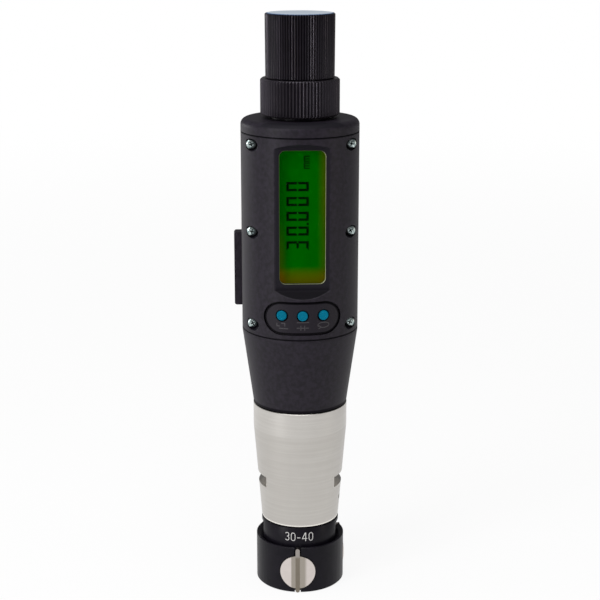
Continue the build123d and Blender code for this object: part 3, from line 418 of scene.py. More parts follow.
def zincHead():
    # bright plating, with painted shade in the cross recess
    s = screwShape
    material, g = newGraph("zincHead")
    x, y, z = g.axes()
    front = -s["seat"] - s["headHeight"]
    # painted shade that deepens towards the recess floor
    deep = y.rise(front + s["recessShadeStart"], front + s["recessShadeEnd"])
    patch = g.grain(0.5, 3.0)
    tint = g.blend(patch.rise(0.35, 0.65), rgb(120, 138, 138), rgb(214, 226, 224))
    tint = g.blend(deep, tint, rgb(18, 26, 26))
    g.surface({"Base Color": tint, "Metallic": 1.0, "Roughness": 0.3 + (patch - 0.5) * 0.14,
               "Normal": g.bump(g.grain(0.35, 2.0), 0.02)})
    return material


stripLook = {"dark": rgb(112, 104, 92), "light": rgb(140, 132, 120), "topTone": rgb(158, 152, 147),
             "topLevel": (12.2, 13.2)}


def stripSteel():
    # the contact strip: lighter at its top, darker below
    look = stripLook
    material, g = newGraph("stripSteel")
    x, y, z = g.axes()
    lines = g.grain(0.12, 2.0, stretch=(1, 1, 0.04), rough=0.6)
    tint = g.blend(lines, look["dark"], look["light"])
    tint = g.blend(z.rise(*look["topLevel"]), tint, look["topTone"])
    g.surface({"Base Color": tint, "Metallic": 1.0, "Roughness": 0.3 + (lines - 0.5) * 0.12,
               "Normal": g.bump(lines, 0.004)})
    return material


# Display

# pairs are where a mask starts and ends, as shares of the display's width or length
displayLook = {"green": rgb(0, 80, 0), "deep": rgb(0, 66, 0), "warm": rgb(74, 68, 0),
               "amber": rgb(112, 62, 0), "glow": 0.36, "left": -7.25, "width": 14.5, "low": 106.1,
               "length": 42.0, "right": (0.8, 1.04), "rightUp": (0.3, 0.6), "foot": (0.87, 0.95),
               "footEnd": (0.93, 1.0), "cornerAcross": (0.8, 1.02), "cornerDown": (0.45, 0.9)}


def displayGreen():
    look = displayLook
    material, g = newGraph("displayGreen")
    x, y, z = g.axes()
    across = (x - look["left"]) / look["width"]
    up = (z - look["low"]) / look["length"]
    rightEdge = across.rise(*look["right"]) * (0.35 + up.rise(*look["rightUp"]) * 0.22)
    lowEdge = (1 - up).rise(*look["foot"]) * 0.6 + (1 - up).rise(*look["footEnd"]) * 0.3
    lowLeft = (1 - across).rise(*look["cornerAcross"]) * (1 - up).rise(*look["cornerDown"])
    cloud = g.grain(7.0, 2.0)
    tint = g.blend(cloud, look["deep"], look["green"])
    tint = g.blend((rightEdge + lowEdge + lowLeft * 0.4).limited(), tint, look["warm"])
    tint = g.blend(lowLeft * lowEdge * 0.6, tint, look["amber"])
    g.surface({"Base Color": tint, "Roughness": 0.5 + (cloud - 0.5) * 0.1, "Emission Color": tint,
               "Specular IOR Level": 0.0, "Emission Strength": look["glow"],
               "Normal": g.bump(g.grain(0.2), 0.001)})
    return material


def digitBlack():
    material, g = newGraph("digitBlack")
    cloud = g.grain(1.2, 2.0)
    g.surface({"Base Color": g.blend(cloud, rgb(2, 12, 3), rgb(3, 18, 4)), "Specular IOR Level": 0.0,
               "Roughness": 0.5 + cloud * 0.1})
    return material


def clearWindow():
    material, g = newGraph("clearWindow")
    cloud = g.grain(5.0, 2.0)
    gloss = g.shader({"Base Color": g.blend(cloud, rgb(6, 12, 6), rgb(10, 18, 10)),
                      "Roughness": 0.1 + cloud * 0.05})
    through = g.add("ShaderNodeBsdfTransparent", None, {"Color": (0.96, 0.99, 0.95, 1.0)})
    mirror = g.add("ShaderNodeFresnel", None, {"IOR": 1.45})
    g.show(g.add("ShaderNodeMixShader", None, {0: (mirror * 0.12).limited(), 1: through, 2: gloss}))
    return material


edgeLook = {"green": rgb(40, 56, 14), "edgeHighlight": rgb(186, 188, 150), "right": (5.6, 7.1), "corner": (5.4, 6.6),
            "cornerDown": (0.9, 1.0), "foot": (0.97, 1)}


# the pane's edge is painted pale on its right, its lower left corner and its foot as a painted highlight,
# with a faint painted glow
def windowEdge():
    look = edgeLook
    material, g = newGraph("windowEdge")
    x, y, z = g.axes()
    down = 1 - (z - displayLook["low"]) / displayLook["length"]
    edgeHighlight = (x.rise(*look["right"]) * 0.5 + x.rise(*look["corner"]) * down.rise(*look["cornerDown"]) * 0.5
            + down.rise(*look["foot"]) * 0.3)
    streak = g.grain(0.8, 3.0, stretch=(1, 1, 0.25))
    tint = g.blend((edgeHighlight * (0.5 + streak)).limited(), look["green"], look["edgeHighlight"])
    g.surface({"Base Color": tint, "Roughness": 0.25 + streak * 0.1, "Emission Color": tint,
               "Emission Strength": 0.1})
    return material


# Prints

def printed(name, dark, light, cloudSize):
    material, g = newGraph(name)
    cloud = g.grain(cloudSize, 3.0)
    g.surface({"Base Color": g.blend(cloud, dark, light), "Roughness": 0.5 + cloud * 0.1})
    return material


def greenBoard():
    material, g = newGraph("greenBoard")
    tracks = g.cells(1.4, stretch=(1, 1, 0.4))
    weave = g.grain(0.25, 2.0)
    tint = g.blend(tracks.rise(0.25, 0.3), rgb(22, 104, 58), rgb(14, 78, 44))
    g.surface({"Base Color": tint, "Roughness": 0.35 + weave * 0.15,
               "Normal": g.bump(tracks.rise(0.25, 0.3), 0.02)})
    return material


finishes = {
    "black_plastic": mouldedBlack(),
    "pad_black": padBlack(),
    "knob_black": ribBlack("knobBlack", rgb(8, 6, 10), rgb(14, 11, 17), 0.25, 0.29),
    "nickel": satinNickel(),
    "black_steel": blackOxide(),
    "ground_steel": metal("groundSteel", rgb(176, 172, 166), rgb(206, 203, 198), 0.3, stretch=(1, 1, 0.03)),
    "carbide": stripSteel(),
    "bright_zinc": metal("brightZinc", rgb(146, 154, 158), rgb(186, 194, 197), 0.33, 0.2, (1, 0.1, 1)),
    "spring_steel": metal("springSteel", rgb(150, 150, 150), rgb(196, 196, 194), 0.26, 0.1, (1, 1, 1)),
    "aluminium": metal("turnedAluminium", rgb(186, 187, 189), rgb(212, 213, 214), 0.32),
    "brass": metal("turnedBrass", rgb(176, 142, 78), rgb(206, 176, 112), 0.3),
    "lens": clearWindow(),
    "display": displayGreen(),
    "light_guide": plainMoulding("lightGuide", rgb(206, 210, 202), rgb(232, 234, 228), 0.3),
    "board_green": greenBoard(),
    "switch_grey": plainMoulding("switchGrey", rgb(82, 82, 84), rgb(104, 104, 106), 0.5),
    "holder_plastic": plainMoulding("holderPlastic", rgb(44, 44, 46), rgb(62, 62, 64), 0.5),
    "button_blue": buttonBlue(),
    "cell_steel": metal("cellSteel", rgb(188, 188, 188), rgb(216, 216, 215), 0.24, 0.15, (1, 0.05, 1)),
    "disc_pale": discPale(),
    "fibre": plainMoulding("pressedFibre", rgb(122, 74, 44), rgb(158, 102, 66), 0.75, 0.2, 0.02),
    "rubber": plainMoulding("sealRubber", rgb(26, 26, 27), rgb(38, 38, 39), 0.7, 0.4, 0.01),
}


def dress(thing, material):
    thing.data.materials.clear()
    thing.data.materials.append(material)


for name, node in nodes.items():
    dress(node, anvilSteel(anvilTurns[name]) if name in anvilTurns else finishes[slotOf[name]])
print("materials on", len(nodes), "nodes")


# Making and joining pieces

def newPiece(name, bm, body, material, replaced=None, smoothAngle=None):
    piece = bpy.data.objects.new(name, meshOf(name, bm, smoothAngle))
    bpy.context.scene.collection.objects.link(piece)
    dress(piece, material)
    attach(piece, body)
    if replaced:
        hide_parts(replaced)
    return piece


def meshOf(name, bm, smoothAngle=None):
    mesh = bpy.data.meshes.new(name)
    bm.to_mesh(mesh)
    bm.free()
    if smoothAngle is not None:
        mesh.polygons.foreach_set("use_smooth", [True] * len(mesh.polygons))
        mesh.set_sharp_from_angle(angle=radians(smoothAngle))
    return mesh


def newTree(name, inputs):
    # a geometry tree with named inputs, each a whole number or not as its value is
    tree = bpy.data.node_groups.new(name, "GeometryNodeTree")
    tree.interface.new_socket(name="Geometry", in_out="INPUT", socket_type="NodeSocketGeometry")
    tree.interface.new_socket(name="Geometry", in_out="OUTPUT", socket_type="NodeSocketGeometry")
    for label, value in inputs.items():
        kind = "NodeSocketInt" if isinstance(value, int) else "NodeSocketFloat"
        tree.interface.new_socket(name=label, in_out="INPUT", socket_type=kind).default_value = value
    g = Graph(tree)
    start = g.add("NodeGroupInput")
    return tree, g, {s.name: Wire(g, s) for s in start.socket.node.outputs if s.name}


def endTree(g, geometry, material):
    real = g.add("GeometryNodeRealizeInstances", None, {0: geometry})
    painted = g.add("GeometryNodeSetMaterial", None, {"Geometry": real, "Material": material})
    g.add("NodeGroupOutput", None, {0: painted})


def grown(name, bm, tree, values):
    # runs a geometry tree on a mesh and gives its result, cleaned
    seed = bpy.data.objects.new(name + "Seed", meshOf(name + "Seed", bm))
    bpy.context.scene.collection.objects.link(seed)
    modifier = seed.modifiers.new("grow", "NODES")
    modifier.node_group = tree
    for item in tree.interface.items_tree:
        if item.in_out == "INPUT" and item.name in values:
            modifier[item.identifier] = values[item.name]
    bpy.context.view_layer.update()
    result = bpy.data.meshes.new_from_object(seed.evaluated_get(bpy.context.evaluated_depsgraph_get()))
    seed.modifiers.remove(modifier)
    bpy.data.objects.remove(seed)
    bm = bmesh.new()
    bm.from_mesh(result)
    bmesh.ops.remove_doubles(bm, verts=bm.verts, dist=0.0005 * mm)
    bmesh.ops.recalc_face_normals(bm, faces=bm.faces)
    return bm


# Ribbed thimble ring and knob: a profile swept round the axis, with teeth pressed into its outer wall

def ribTree(material, values):
    tree, g, given = newTree("ribbedRing", values)
    count = given["Ribs"] * given["Steps"]
    circle = g.add("GeometryNodeCurvePrimitiveCircle", None, {"Resolution": count, "Radius": given["Crest"]})
    step = g.add("GeometryNodeInputIndex")
    circle = g.add("GeometryNodeStoreNamedAttribute", {"data_type": "FLOAT", "domain": "POINT"},
                   {"Geometry": circle, "Name": "step", "Value": step})
    profile = g.add("GeometryNodeMeshToCurve", None, {0: given["Geometry"]})
    spot = g.add("ShaderNodeSeparateXYZ", None, {0: g.add("GeometryNodeInputPosition")})
    profile = g.add("GeometryNodeStoreNamedAttribute", {"data_type": "FLOAT", "domain": "POINT"},
                    {"Geometry": profile, "Name": "reach", "Value": spot.out("X")})
    profile = g.add("GeometryNodeStoreNamedAttribute", {"data_type": "FLOAT", "domain": "POINT"},
                    {"Geometry": profile, "Name": "height", "Value": spot.out("Z")})
    shell = g.add("GeometryNodeCurveToMesh", None, {"Curve": circle, "Profile Curve": profile})

    def stored(name):
        return g.add("GeometryNodeInputNamedAttribute", {"data_type": "FLOAT"}, {"Name": name})

    phase = (stored("step") % given["Steps"]) / given["Steps"]
    tooth = 1 - abs(phase * 2 - 1)
    tooth = ((tooth - given["Root Share"]) / (1 - given["Root Share"] - given["Crest Share"])).limited()
    limit = given["Root"] + tooth * (given["Crest"] - given["Root"])
    reach = stored("reach").least(limit)
    turn = stored("step") / count * (2 * pi)
    at = g.add("ShaderNodeCombineXYZ", None, {"X": reach * turn.cosine(), "Y": reach * turn.sine(),
                                              "Z": stored("height")})
    shell = g.add("GeometryNodeSetPosition", None, {"Geometry": shell, "Position": at})
    endTree(g, shell, material)
    return tree


longestChamfer = 2                                    # a run that climbs more than this is a wall


def ringProfile(points, finest):
    # a closed outline of (radius, height) in millimetres, with extra points along its chamfers
    bm = bmesh.new()
    spots = []
    for (r0, z0), (r1, z1) in zip(points, points[1:] + points[:1]):
        slanted = abs(r1 - r0) > 1e-6 and 1e-6 < abs(z1 - z0) < longestChamfer
        pieces = max(1, round(abs(z1 - z0) / finest)) if slanted else 1
        for i in range(pieces):
            t = i / pieces
            spots.append(bm.verts.new(((r0 + (r1 - r0) * t) * mm, 0, (z0 + (z1 - z0) * t) * mm)))
    for a, b in zip(spots, spots[1:] + spots[:1]):
        bm.edges.new((a, b))
    return bm


thimbleShape = {"ribs": 72, "steps": 8, "crest": 12.45, "root": 11.9, "crestShare": 0.13, "rootShare": 0.05,
                "low": 157.0, "top": 168.3, "chamfer": 0.5, "web": 3.0, "rimInner": 9.9, "hub": 7.0,
                "hubTop": 170.3, "bore": 4.22, "finest": 0.12, "smoothAngle": 20}
knobShape = {"ribs": 80, "steps": 8, "crest": 10.93, "root": 10.5, "crestShare": 0.16, "rootShare": 0.05,
             "lowRadius": 10.8, "low": 168.4, "top": 188.4, "chamfer": 0.3, "skirtInner": 8.4, "cavity": 8.6,
             "webLow": 171.2, "webTop": 173.7, "discSeat": 10.35, "discLow": 187.2, "bore": 4.25,
             "rimDrop": 0.3, "finest": 0.1, "smoothAngle": 20}


def ribValues(shape):
    return {"Ribs": shape["ribs"], "Steps": shape["steps"], "Crest": shape["crest"] * mm,
            "Root": shape["root"] * mm, "Crest Share": shape["crestShare"], "Root Share": shape["rootShare"]}


def thimbleRing():
    s = thimbleShape
    values = ribValues(s)
    inner = s["crest"] - s["chamfer"]
    black = ribBlack("thimbleBlack", rgb(16, 13, 18), rgb(24, 21, 26), 0.34, 0.42)
    points = [(s["bore"], s["low"]), (inner, s["low"]), (s["crest"], s["low"] + s["chamfer"]),
              (s["crest"], s["top"] - s["chamfer"]), (inner, s["top"]), (s["rimInner"], s["top"]),
              (s["rimInner"], s["low"] + s["web"]), (s["hub"], s["low"] + s["web"]), (s["hub"], s["hubTop"]),
              (s["bore"], s["hubTop"])]
    bm = grown("thimbleRing", ringProfile(points, s["finest"]), ribTree(black, values), values)
    newPiece("thimbleRing", bm, "thimble_group", black, "thimble", s["smoothAngle"])


def ribbedKnob():
    s = knobShape
    values = ribValues(s)
    rim = s["top"] - s["rimDrop"]                     # a little lower than the disc
    points = [(s["skirtInner"], s["low"]), (s["lowRadius"] - s["chamfer"], s["low"]),
              (s["lowRadius"], s["low"] + s["chamfer"]), (s["crest"], rim - s["chamfer"]),
              (s["crest"] - s["chamfer"], rim), (s["discSeat"], rim), (s["discSeat"], s["discLow"]),
              (s["cavity"], s["discLow"]), (s["cavity"], s["webTop"]), (s["bore"], s["webTop"]),
              (s["bore"], s["webLow"]), (s["skirtInner"], s["webLow"])]
    black = finishes["knob_black"]
    bm = grown("ribbedKnob", ringProfile(points, s["finest"]), ribTree(black, values), values)
    newPiece("ribbedKnob", bm, "knob_group", black, "knob", s["smoothAngle"])


thimbleRing()
ribbedKnob()
print("ribbed ring and knob")


# Cover screws with a domed head and a tapered cross recess, each turned its own way

screwShape = {"places": [(x, z) for x in (-15.5, 15.5) for z in (91.6, 121.45, 148.9)], "seat": 7.6,
              "headRadius": 1.5, "headHeight": 1.3, "dome": 0.32, "crossLength": 1.95, "crossWidth": 0.5,
              "crossDepth": 0.9, "taper": 0.5, "shankRadius": 0.95, "shankLength": 11.5, "seed": 4,
              "overlap": 0.4, "recessShadeStart": 0.12, "recessShadeEnd": 0.5, "smoothAngle": 25}


def screwTree(material, values):
    tree, g, given = newTree("crossScrews", values)
    headHeight = given["Head Height"]

    def lifted(geometry, height):
        shift = g.add("ShaderNodeCombineXYZ", None, {"Z": height})
        return g.add("GeometryNodeTransform", None, {"Geometry": geometry, "Translation": shift})

    head = g.add("GeometryNodeMeshCylinder", {"fill_type": "NGON"}, {
        "Vertices": 40, "Side Segments": 1, "Fill Segments": 7, "Radius": given["Head Radius"],
        "Depth": headHeight})
    head = lifted(head, headHeight * 0.5)
    spot = g.add("ShaderNodeSeparateXYZ", None, {0: g.add("GeometryNodeInputPosition")})
    x, y, z = spot.out("X"), spot.out("Y"), spot.out("Z")
    share = (x * x + y * y) / (given["Head Radius"] * given["Head Radius"])
    fall = g.add("ShaderNodeCombineXYZ", None, {"Z": share * share * given["Dome"] * -1})
    head = g.add("GeometryNodeSetPosition", None,
                 {"Geometry": head, "Selection": z.above(headHeight * 0.99), "Offset": fall})
    inHead = headHeight * screwShape["overlap"]       # how far the shank reaches into the head
    shank = g.add("GeometryNodeMeshCylinder", None, {
        "Vertices": 24, "Radius": given["Shank Radius"], "Depth": given["Shank Length"] + inHead})
    shank = lifted(shank, (inHead - given["Shank Length"]) * 0.5)
    tools = []
    for sizes in (("Cross Length", "Cross Width"), ("Cross Width", "Cross Length")):
        size = g.add("ShaderNodeCombineXYZ", None, {
            "X": given[sizes[0]], "Y": given[sizes[1]], "Z": given["Cross Depth"] * 2})
        tool = g.add("GeometryNodeMeshCube", None, {"Size": size})
        narrow = z.rise(given["Cross Depth"] * -1, given["Cross Depth"]) * given["Taper"] - given["Taper"]
        shift = g.add("ShaderNodeCombineXYZ", None, {"X": x * narrow, "Y": y * narrow})
        tool = g.add("GeometryNodeSetPosition", None, {"Geometry": tool, "Offset": shift})
        tools.append(lifted(tool, headHeight))
    whole = g.add("GeometryNodeMeshBoolean", {"operation": "UNION", "solver": "EXACT"},
                  {"Mesh 2": [head, shank]})
    screw = g.add("GeometryNodeMeshBoolean", {"operation": "DIFFERENCE", "solver": "EXACT"},
                  {"Mesh 1": whole, "Mesh 2": tools})
    spin = g.add("FunctionNodeRandomValue", {"data_type": "FLOAT"},
                 {2: 0.0, 3: pi / 2, "Seed": given["Seed"]}, output=1)
    turned = g.add("ShaderNodeCombineXYZ", None, {"X": pi / 2, "Y": spin})
    points = g.add("GeometryNodeMeshToPoints", None, {0: given["Geometry"]})
    screws = g.add("GeometryNodeInstanceOnPoints", None,
                   {"Points": points, "Instance": screw, "Rotation": turned})
    endTree(g, screws, material)
    return tree


def crossScrews():
    s = screwShape
    bm = bmesh.new()
    for x, z in s["places"]:
        bm.verts.new((x * mm, -s["seat"] * mm, z * mm))
    lengths = {"Head Radius": "headRadius", "Head Height": "headHeight", "Dome": "dome",
               "Cross Length": "crossLength", "Cross Width": "crossWidth", "Cross Depth": "crossDepth",
               "Shank Radius": "shankRadius", "Shank Length": "shankLength"}
    values = {label: s[key] * mm for label, key in lengths.items()}
    values.update({"Taper": s["taper"], "Seed": s["seed"]})
    plated = zincHead()
    bm = grown("crossScrews", bm, screwTree(plated, values), values)
    newPiece("crossScrews", bm, "housing", plated, "cover_screws", s["smoothAngle"])


crossScrews()
print("screws")


# Head and strips: the solids' own surfaces, with the rim and the strips' tops at the height they are seen at

headShape = {"ledge": 14.9, "edge": 0.35, "above": 0.01, "neck": 12.8, "rim": 14.3, "rimLift": 1.15,
             "stripTop": 13.9, "stripLift": 0.55, "smoothAngle": 15}


def reshaped(node, name, lift):
    # a copy of a solid's mesh whose points rise by what lift gives for their radius and level
    bm = bmesh.new()
    bm.from_mesh(nodes[node].data)
    bmesh.ops.remove_doubles(bm, verts=bm.verts, dist=0.0005 * mm)
    for v in bm.verts:
        x, y, z = v.co / mm
        v.co.z += lift(sqrt(x * x + y * y), z) * mm
    newPiece(name, bm, bodyOf[node], nodes[node].data.materials[0], node,
             headShape["smoothAngle"])


def rimLift(radius, level):
    # the ledge becomes a shallow groove that climbs from the neck to the rim
    s = headShape
    if level < s["ledge"] - s["edge"] or level > s["ledge"] + s["above"]:
        return 0
    return s["rimLift"] * min(max((radius - s["neck"]) / (s["rim"] - s["neck"]), 0), 1)


def stripLift(radius, level):
    return headShape["stripLift"] if level > headShape["stripTop"] else 0


reshaped("head_body", "measuringHead", rimLift)
for number in range(1, 4):
    reshaped("anvil_strip_%d" % number, "contactStrip%d" % number, stripLift)
print("head and strips")


# Window: a moulded pane with a rounded edge, and a painted highlight line round it

paneShape = {"width": 14.4, "length": 41.9, "corner": 1.95, "middle": 127.1, "back": 14.16,
             "flangeFront": 14.9, "front": 16.55, "flange": 0.95, "flangeCorner": 0.4, "step": 0.001,
             "round": 0.3, "roundSteps": 4, "smoothAngle": 35,
             "rim": [(-0.01, -0.4), (-0.01, -0.04), (0.03, 0.01), (0.09, 0.01), (0.12, -0.02), (0.09, -0.4)]}


def roundedLoop(bm, width, length, corner, middle, y, steps=8):
    loop = []
    for sideX, sideZ, start in ((1, 1, 0), (-1, 1, 90), (-1, -1, 180), (1, -1, 270)):
        cx = sideX * (width / 2 - corner)
        cz = middle + sideZ * (length / 2 - corner)
        for i in range(steps + 1):
            a = radians(start + 90 * i / steps)
            loop.append(bm.verts.new(((cx + corner * cos(a)) * mm, -y * mm, (cz + corner * sin(a)) * mm)))
    return loop


def stitch(bm, loops, closed=False):
    pairs = list(zip(loops, loops[1:])) + ([(loops[-1], loops[0])] if closed else [])
    for a, b in pairs:
        for i in range(len(a)):
            j = (i + 1) % len(a)
            bm.faces.new((a[i], a[j], b[j], b[i]))


def paneLoop(bm, inset, y):
    s = paneShape
    wide, long = s["width"] - 2 * inset, s["length"] - 2 * inset
    return roundedLoop(bm, wide, long, s["corner"] - inset, s["middle"], y)


def windowPane():
    s = paneShape
    bm = bmesh.new()
    wide, long = s["width"] + 2 * s["flange"], s["length"] + 2 * s["flange"]
    loops = [roundedLoop(bm, wide, long, s["flangeCorner"], s["middle"], s["back"]),
             roundedLoop(bm, wide, long, s["flangeCorner"], s["middle"], s["flangeFront"]),
             paneLoop(bm, 0, s["flangeFront"] + s["step"])]
    for i in range(s["roundSteps"] + 1):
        a = radians(90 * i / s["roundSteps"])
        loops.append(paneLoop(bm, s["round"] * (1 - cos(a)), s["front"] - s["round"] * (1 - sin(a))))
    stitch(bm, loops)
    bm.faces.new(loops[0])
    bm.faces.new(loops[-1])
    bmesh.ops.recalc_face_normals(bm, faces=bm.faces)
    newPiece("windowPane", bm, "housing", finishes["lens"], "window_lens", s["smoothAngle"])


def windowRim():
    # its profile is given as (inset from the pane's edge, height above the pane's front)
    s = paneShape
    bm = bmesh.new()
    stitch(bm, [paneLoop(bm, inset, s["front"] + rise) for inset, rise in s["rim"]], closed=True)
    bmesh.ops.recalc_face_normals(bm, faces=bm.faces)
    newPiece("windowRim", bm, "housing", windowEdge(), smoothAngle=s["smoothAngle"])


windowPane()
windowRim()
print("window")


# Prints: flat shapes in the plane of the work, laid on the display, the neck and the button field

def polygonSheet(shapes):
    bm = bmesh.new()
    for shape in shapes:
        bm.faces.new([bm.verts.new((u * mm, v * mm, 0)) for u, v in shape])
    bmesh.ops.remove_doubles(bm, verts=bm.verts, dist=0.0001 * mm)
    return bm


def ribbonShapes(points, line, closed=False):
    # four-sided faces along a run of points, mitred where it bends
    spots = [Vector(point) for point in points]
    last = len(spots) - 1
    rails = []
    for i, spot in enumerate(spots):
        before = spots[i - 1] if closed or i > 0 else spot
        after = spots[(i + 1) % len(spots)] if closed or i < last else spot
        runs = [(b - a).normalized() for a, b in ((before, spot), (spot, after)) if (b - a).length > 0]
        along = sum(runs, Vector((0, 0))).normalized()
        side = Vector((-along.y, along.x)) * line / 2 / along.dot(runs[0])
        rails.append((spot + side, spot - side))
    pairs = list(zip(rails, rails[1:])) + ([(rails[-1], rails[0])] if closed else [])
    return [(a[0], a[1], b[1], b[0]) for a, b in pairs]


def bend(middle, reach, start, end, steps=12):
    # points on part of an ellipse, from one angle to another
    angles = [radians(start + (end - start) * i / steps) for i in range(steps + 1)]
    return [(middle[0] + reach[0] * cos(a), middle[1] + reach[1] * sin(a)) for a in angles]


def sliced(bm, pitch):
    # cuts a flat mesh into upright strips, so that it bends round a cylinder
    us = [v.co.x for v in bm.verts]
    for i in range(1, int((max(us) - min(us)) / (pitch * mm)) + 1):
        everything = bm.verts[:] + bm.edges[:] + bm.faces[:]
        bmesh.ops.bisect_plane(bm, geom=everything, dist=1e-8, plane_co=(min(us) + i * pitch * mm, 0, 0),
                               plane_no=(1, 0, 0))
    return bm


def laid(bm, depth, lift, place):
    # gives the flat mesh a thickness from -depth to lift and puts each point in place
    extruded = bmesh.ops.extrude_face_region(bm, geom=bm.faces[:])
    raised = [v for v in extruded["geom"] if isinstance(v, bmesh.types.BMVert)]
    low = set(bm.verts) - set(raised)
    for v in bm.verts:
        w = -depth if v in low else lift
        v.co = Vector(place(v.co.x / mm, v.co.y / mm, w)) * mm
    bmesh.ops.recalc_face_normals(bm, faces=bm.faces)
    return bm


def onCylinder(radius, angle, height):
    def place(u, v, w):
        a = radians(angle) + u / radius
        return ((radius + w) * cos(a), (radius + w) * sin(a), height + v)
    return place


# of each numeral: bows and bowls as shares of its height or half width, levels as shares of its height
neckPrint = {"text": "30-40", "line": 0.235, "height": 2.98, "width": 1.5, "fourWidth": 1.7, "dash": 1.1,
             "gap": 0.54, "radius": 12.8, "angle": -94.2, "low": 17.62, "bow": 1.25, "upperBowl": 0.24,
             "lowerBowl": 0.26, "upperReach": 0.92, "bowlStart": 155, "bowlEnd": -95, "stem": 0.72,
             "crossbar": 0.3, "dashLevel": 0.4, "slice": 0.45, "depth": 0.06, "proud": 0.025}


def numeralRuns(letter):
    # the middle lines of a numeral's strokes: (points, closed), and its width
    s = neckPrint
    w, h, t = s["width"], s["height"], s["line"]
    reach = w / 2 - t / 2
    if letter == "0":
        bow = reach * s["bow"]
        upper = bend((w / 2, h - t / 2 - bow), (reach, bow), 0, 180)
        lower = bend((w / 2, t / 2 + bow), (reach, bow), 180, 360)
        return [(upper + lower, True)], w
    if letter == "3":
        upper, lower = (h - t) * s["upperBowl"], (h - t) * s["lowerBowl"]
        start, end = s["bowlStart"], s["bowlEnd"]
        return [(bend((w / 2, h - t / 2 - upper), (reach * s["upperReach"], upper), start, end), False),
                (bend((w / 2, t / 2 + lower), (reach, lower), -end, -start), False)], w
    if letter == "4":
        w = s["fourWidth"]
        stem, bar = w * s["stem"], h * s["crossbar"]
        return [([(stem - t / 2, h), (t / 2, bar), (w, bar)], False), ([(stem, h), (stem, 0)], False)], w
    return [([(0, h * s["dashLevel"]), (s["dash"], h * s["dashLevel"])], False)], s["dash"]


def neckNumbers():
    s = neckPrint
    shapes = []
    start = 0
    for letter in s["text"]:
        runs, width = numeralRuns(letter)
        for points, closed in runs:
            shapes += ribbonShapes([(start + u, v) for u, v in points], s["line"], closed)
        start += width + s["gap"]
    middle = (start - s["gap"]) / 2
    bm = sliced(polygonSheet([[(u - middle, v) for u, v in shape] for shape in shapes]), s["slice"])
    laid(bm, s["depth"], s["proud"], onCylinder(s["radius"], s["angle"], s["low"]))
    white = printed("printWhite", rgb(186, 184, 182), rgb(212, 210, 208), 0.5)
    newPiece("neckNumbers", bm, "housing", white)


neckNumbers()

digitShape = {"reading": "30.000", "start": 116.45, "pitch": 4.66, "width": 2.9, "height": 6.95, "line": 0.78,
              "gap": 0.02, "middleGap": 0.07, "foot": 2.06, "face": 14.125, "point": 0.7, "pointGap": 0.45,
              "postCut": 0.35, "middleCut": 0.6, "segments": {"0": "abcdef", "3": "abcdg"},
              "unitStart": 142.0, "unitFoot": 2.33, "unitHeight": 1.86, "unitLine": 0.33,
              "unitPitch": 0.79, "unitGap": 0.24, "ink": 0.01}


def segmentShapes(letter, u0):
    s = digitShape
    w, h, t, c, m = s["width"], s["height"], s["line"], s["gap"], s["middleGap"]
    half = h / 2
    u1 = u0 + w

    def bar(v, inLow, inHigh):                        # a level bar with slanted ends
        return [(u0 + inLow + c, v), (u1 - inLow - c, v), (u1 - inHigh - c, v + t), (u0 + inHigh + c, v + t)]

    def post(outer, inner):                           # a lower upright bar, slanted at both ends
        return [(outer, c), (inner, t + c), (inner, half - t * s["postCut"] - m), (outer, half - m)]

    def mirrored(shape):
        return [(u, h - v) for u, v in shape]

    left, right = post(u0, u0 + t), post(u1, u1 - t)
    tip = t * s["middleCut"] + c
    bars = {"a": bar(h - t, t, 0), "d": bar(0, 0, t), "b": mirrored(right), "f": mirrored(left),
            "c": right, "e": left,
            "g": [(u0 + tip, half), (u0 + t + c, half - t / 2), (u1 - t - c, half - t / 2),
                  (u1 - tip, half), (u1 - t - c, half + t / 2), (u0 + t + c, half + t / 2)]}
    return [bars[name] for name in s["segments"][letter]]


def rectangle(u0, v0, u1, v1):
    return [(u0, v0), (u1, v0), (u1, v1), (u0, v1)]


def readingShapes():
    s = digitShape
    shapes = []
    cell = 0
    for letter in s["reading"]:
        if letter == ".":
            u = (cell - 1) * s["pitch"] + s["width"] + s["pointGap"]
            shapes.append(rectangle(u, 0, u + s["point"], s["point"]))
        else:
            shapes += segmentShapes(letter, cell * s["pitch"])
            cell += 1
    return shapes


def unitShapes():
    # two letters, each of three stems under a bar
    s = digitShape
    shapes = []
    line, high = s["unitLine"], s["unitHeight"]
    wide = 2 * s["unitPitch"] + line
    for start in (0, wide + s["unitGap"]):
        stems = [start + i * s["unitPitch"] for i in range(3)]
        shapes += [rectangle(u, 0, u + line, high - line) for u in stems]
        shapes.append(rectangle(start, high - line, start + wide, high))
    return shapes


def onDisplay(name, shapes, foot, start, material):
    s = digitShape

    def place(u, v, w):                               # reads upwards, its top to the left
        return (foot - v, -s["face"] - w, start + u)

    bm = laid(polygonSheet(shapes), s["ink"], s["ink"], place)
    newPiece(name, bm, "housing", material)


digitInk = digitBlack()
onDisplay("displayDigits", readingShapes(), digitShape["foot"], digitShape["start"], digitInk)
onDisplay("displayUnit", unitShapes(), digitShape["unitFoot"], digitShape["unitStart"], digitInk)
print("display")

markShape = {"radius": 18.6, "line": 0.3, "slice": 0.5, "depth": 0.05, "proud": 0.012,
             "left": [[(-8.3, 93.9), (-8.3, 92.9), (-7.3, 92.9)], [(-6.9, 93.9), (-5.7, 93.9), (-5.7, 92.9)],
                      [(-7.6, 92.2), (-4.6, 92.2)]],
             "middle": [[(-1.9, 94.3), (2.0, 94.3)], [(-1.9, 92.5), (-0.9, 92.5)],
                        [(-0.6, 93.3), (-0.6, 91.7)], [(-0.6, 92.5), (0.6, 92.5)],
                        [(0.6, 93.3), (0.6, 91.7)], [(0.9, 92.5), (1.9, 92.5)]],
             "oval": {"middle": (6.7, 93.2), "reach": (1.9, 0.85), "start": -120, "end": 210, "steps": 22},
             "arrow": [(5.0, 92.0), (5.9, 92.5), (5.1, 93.1)]}


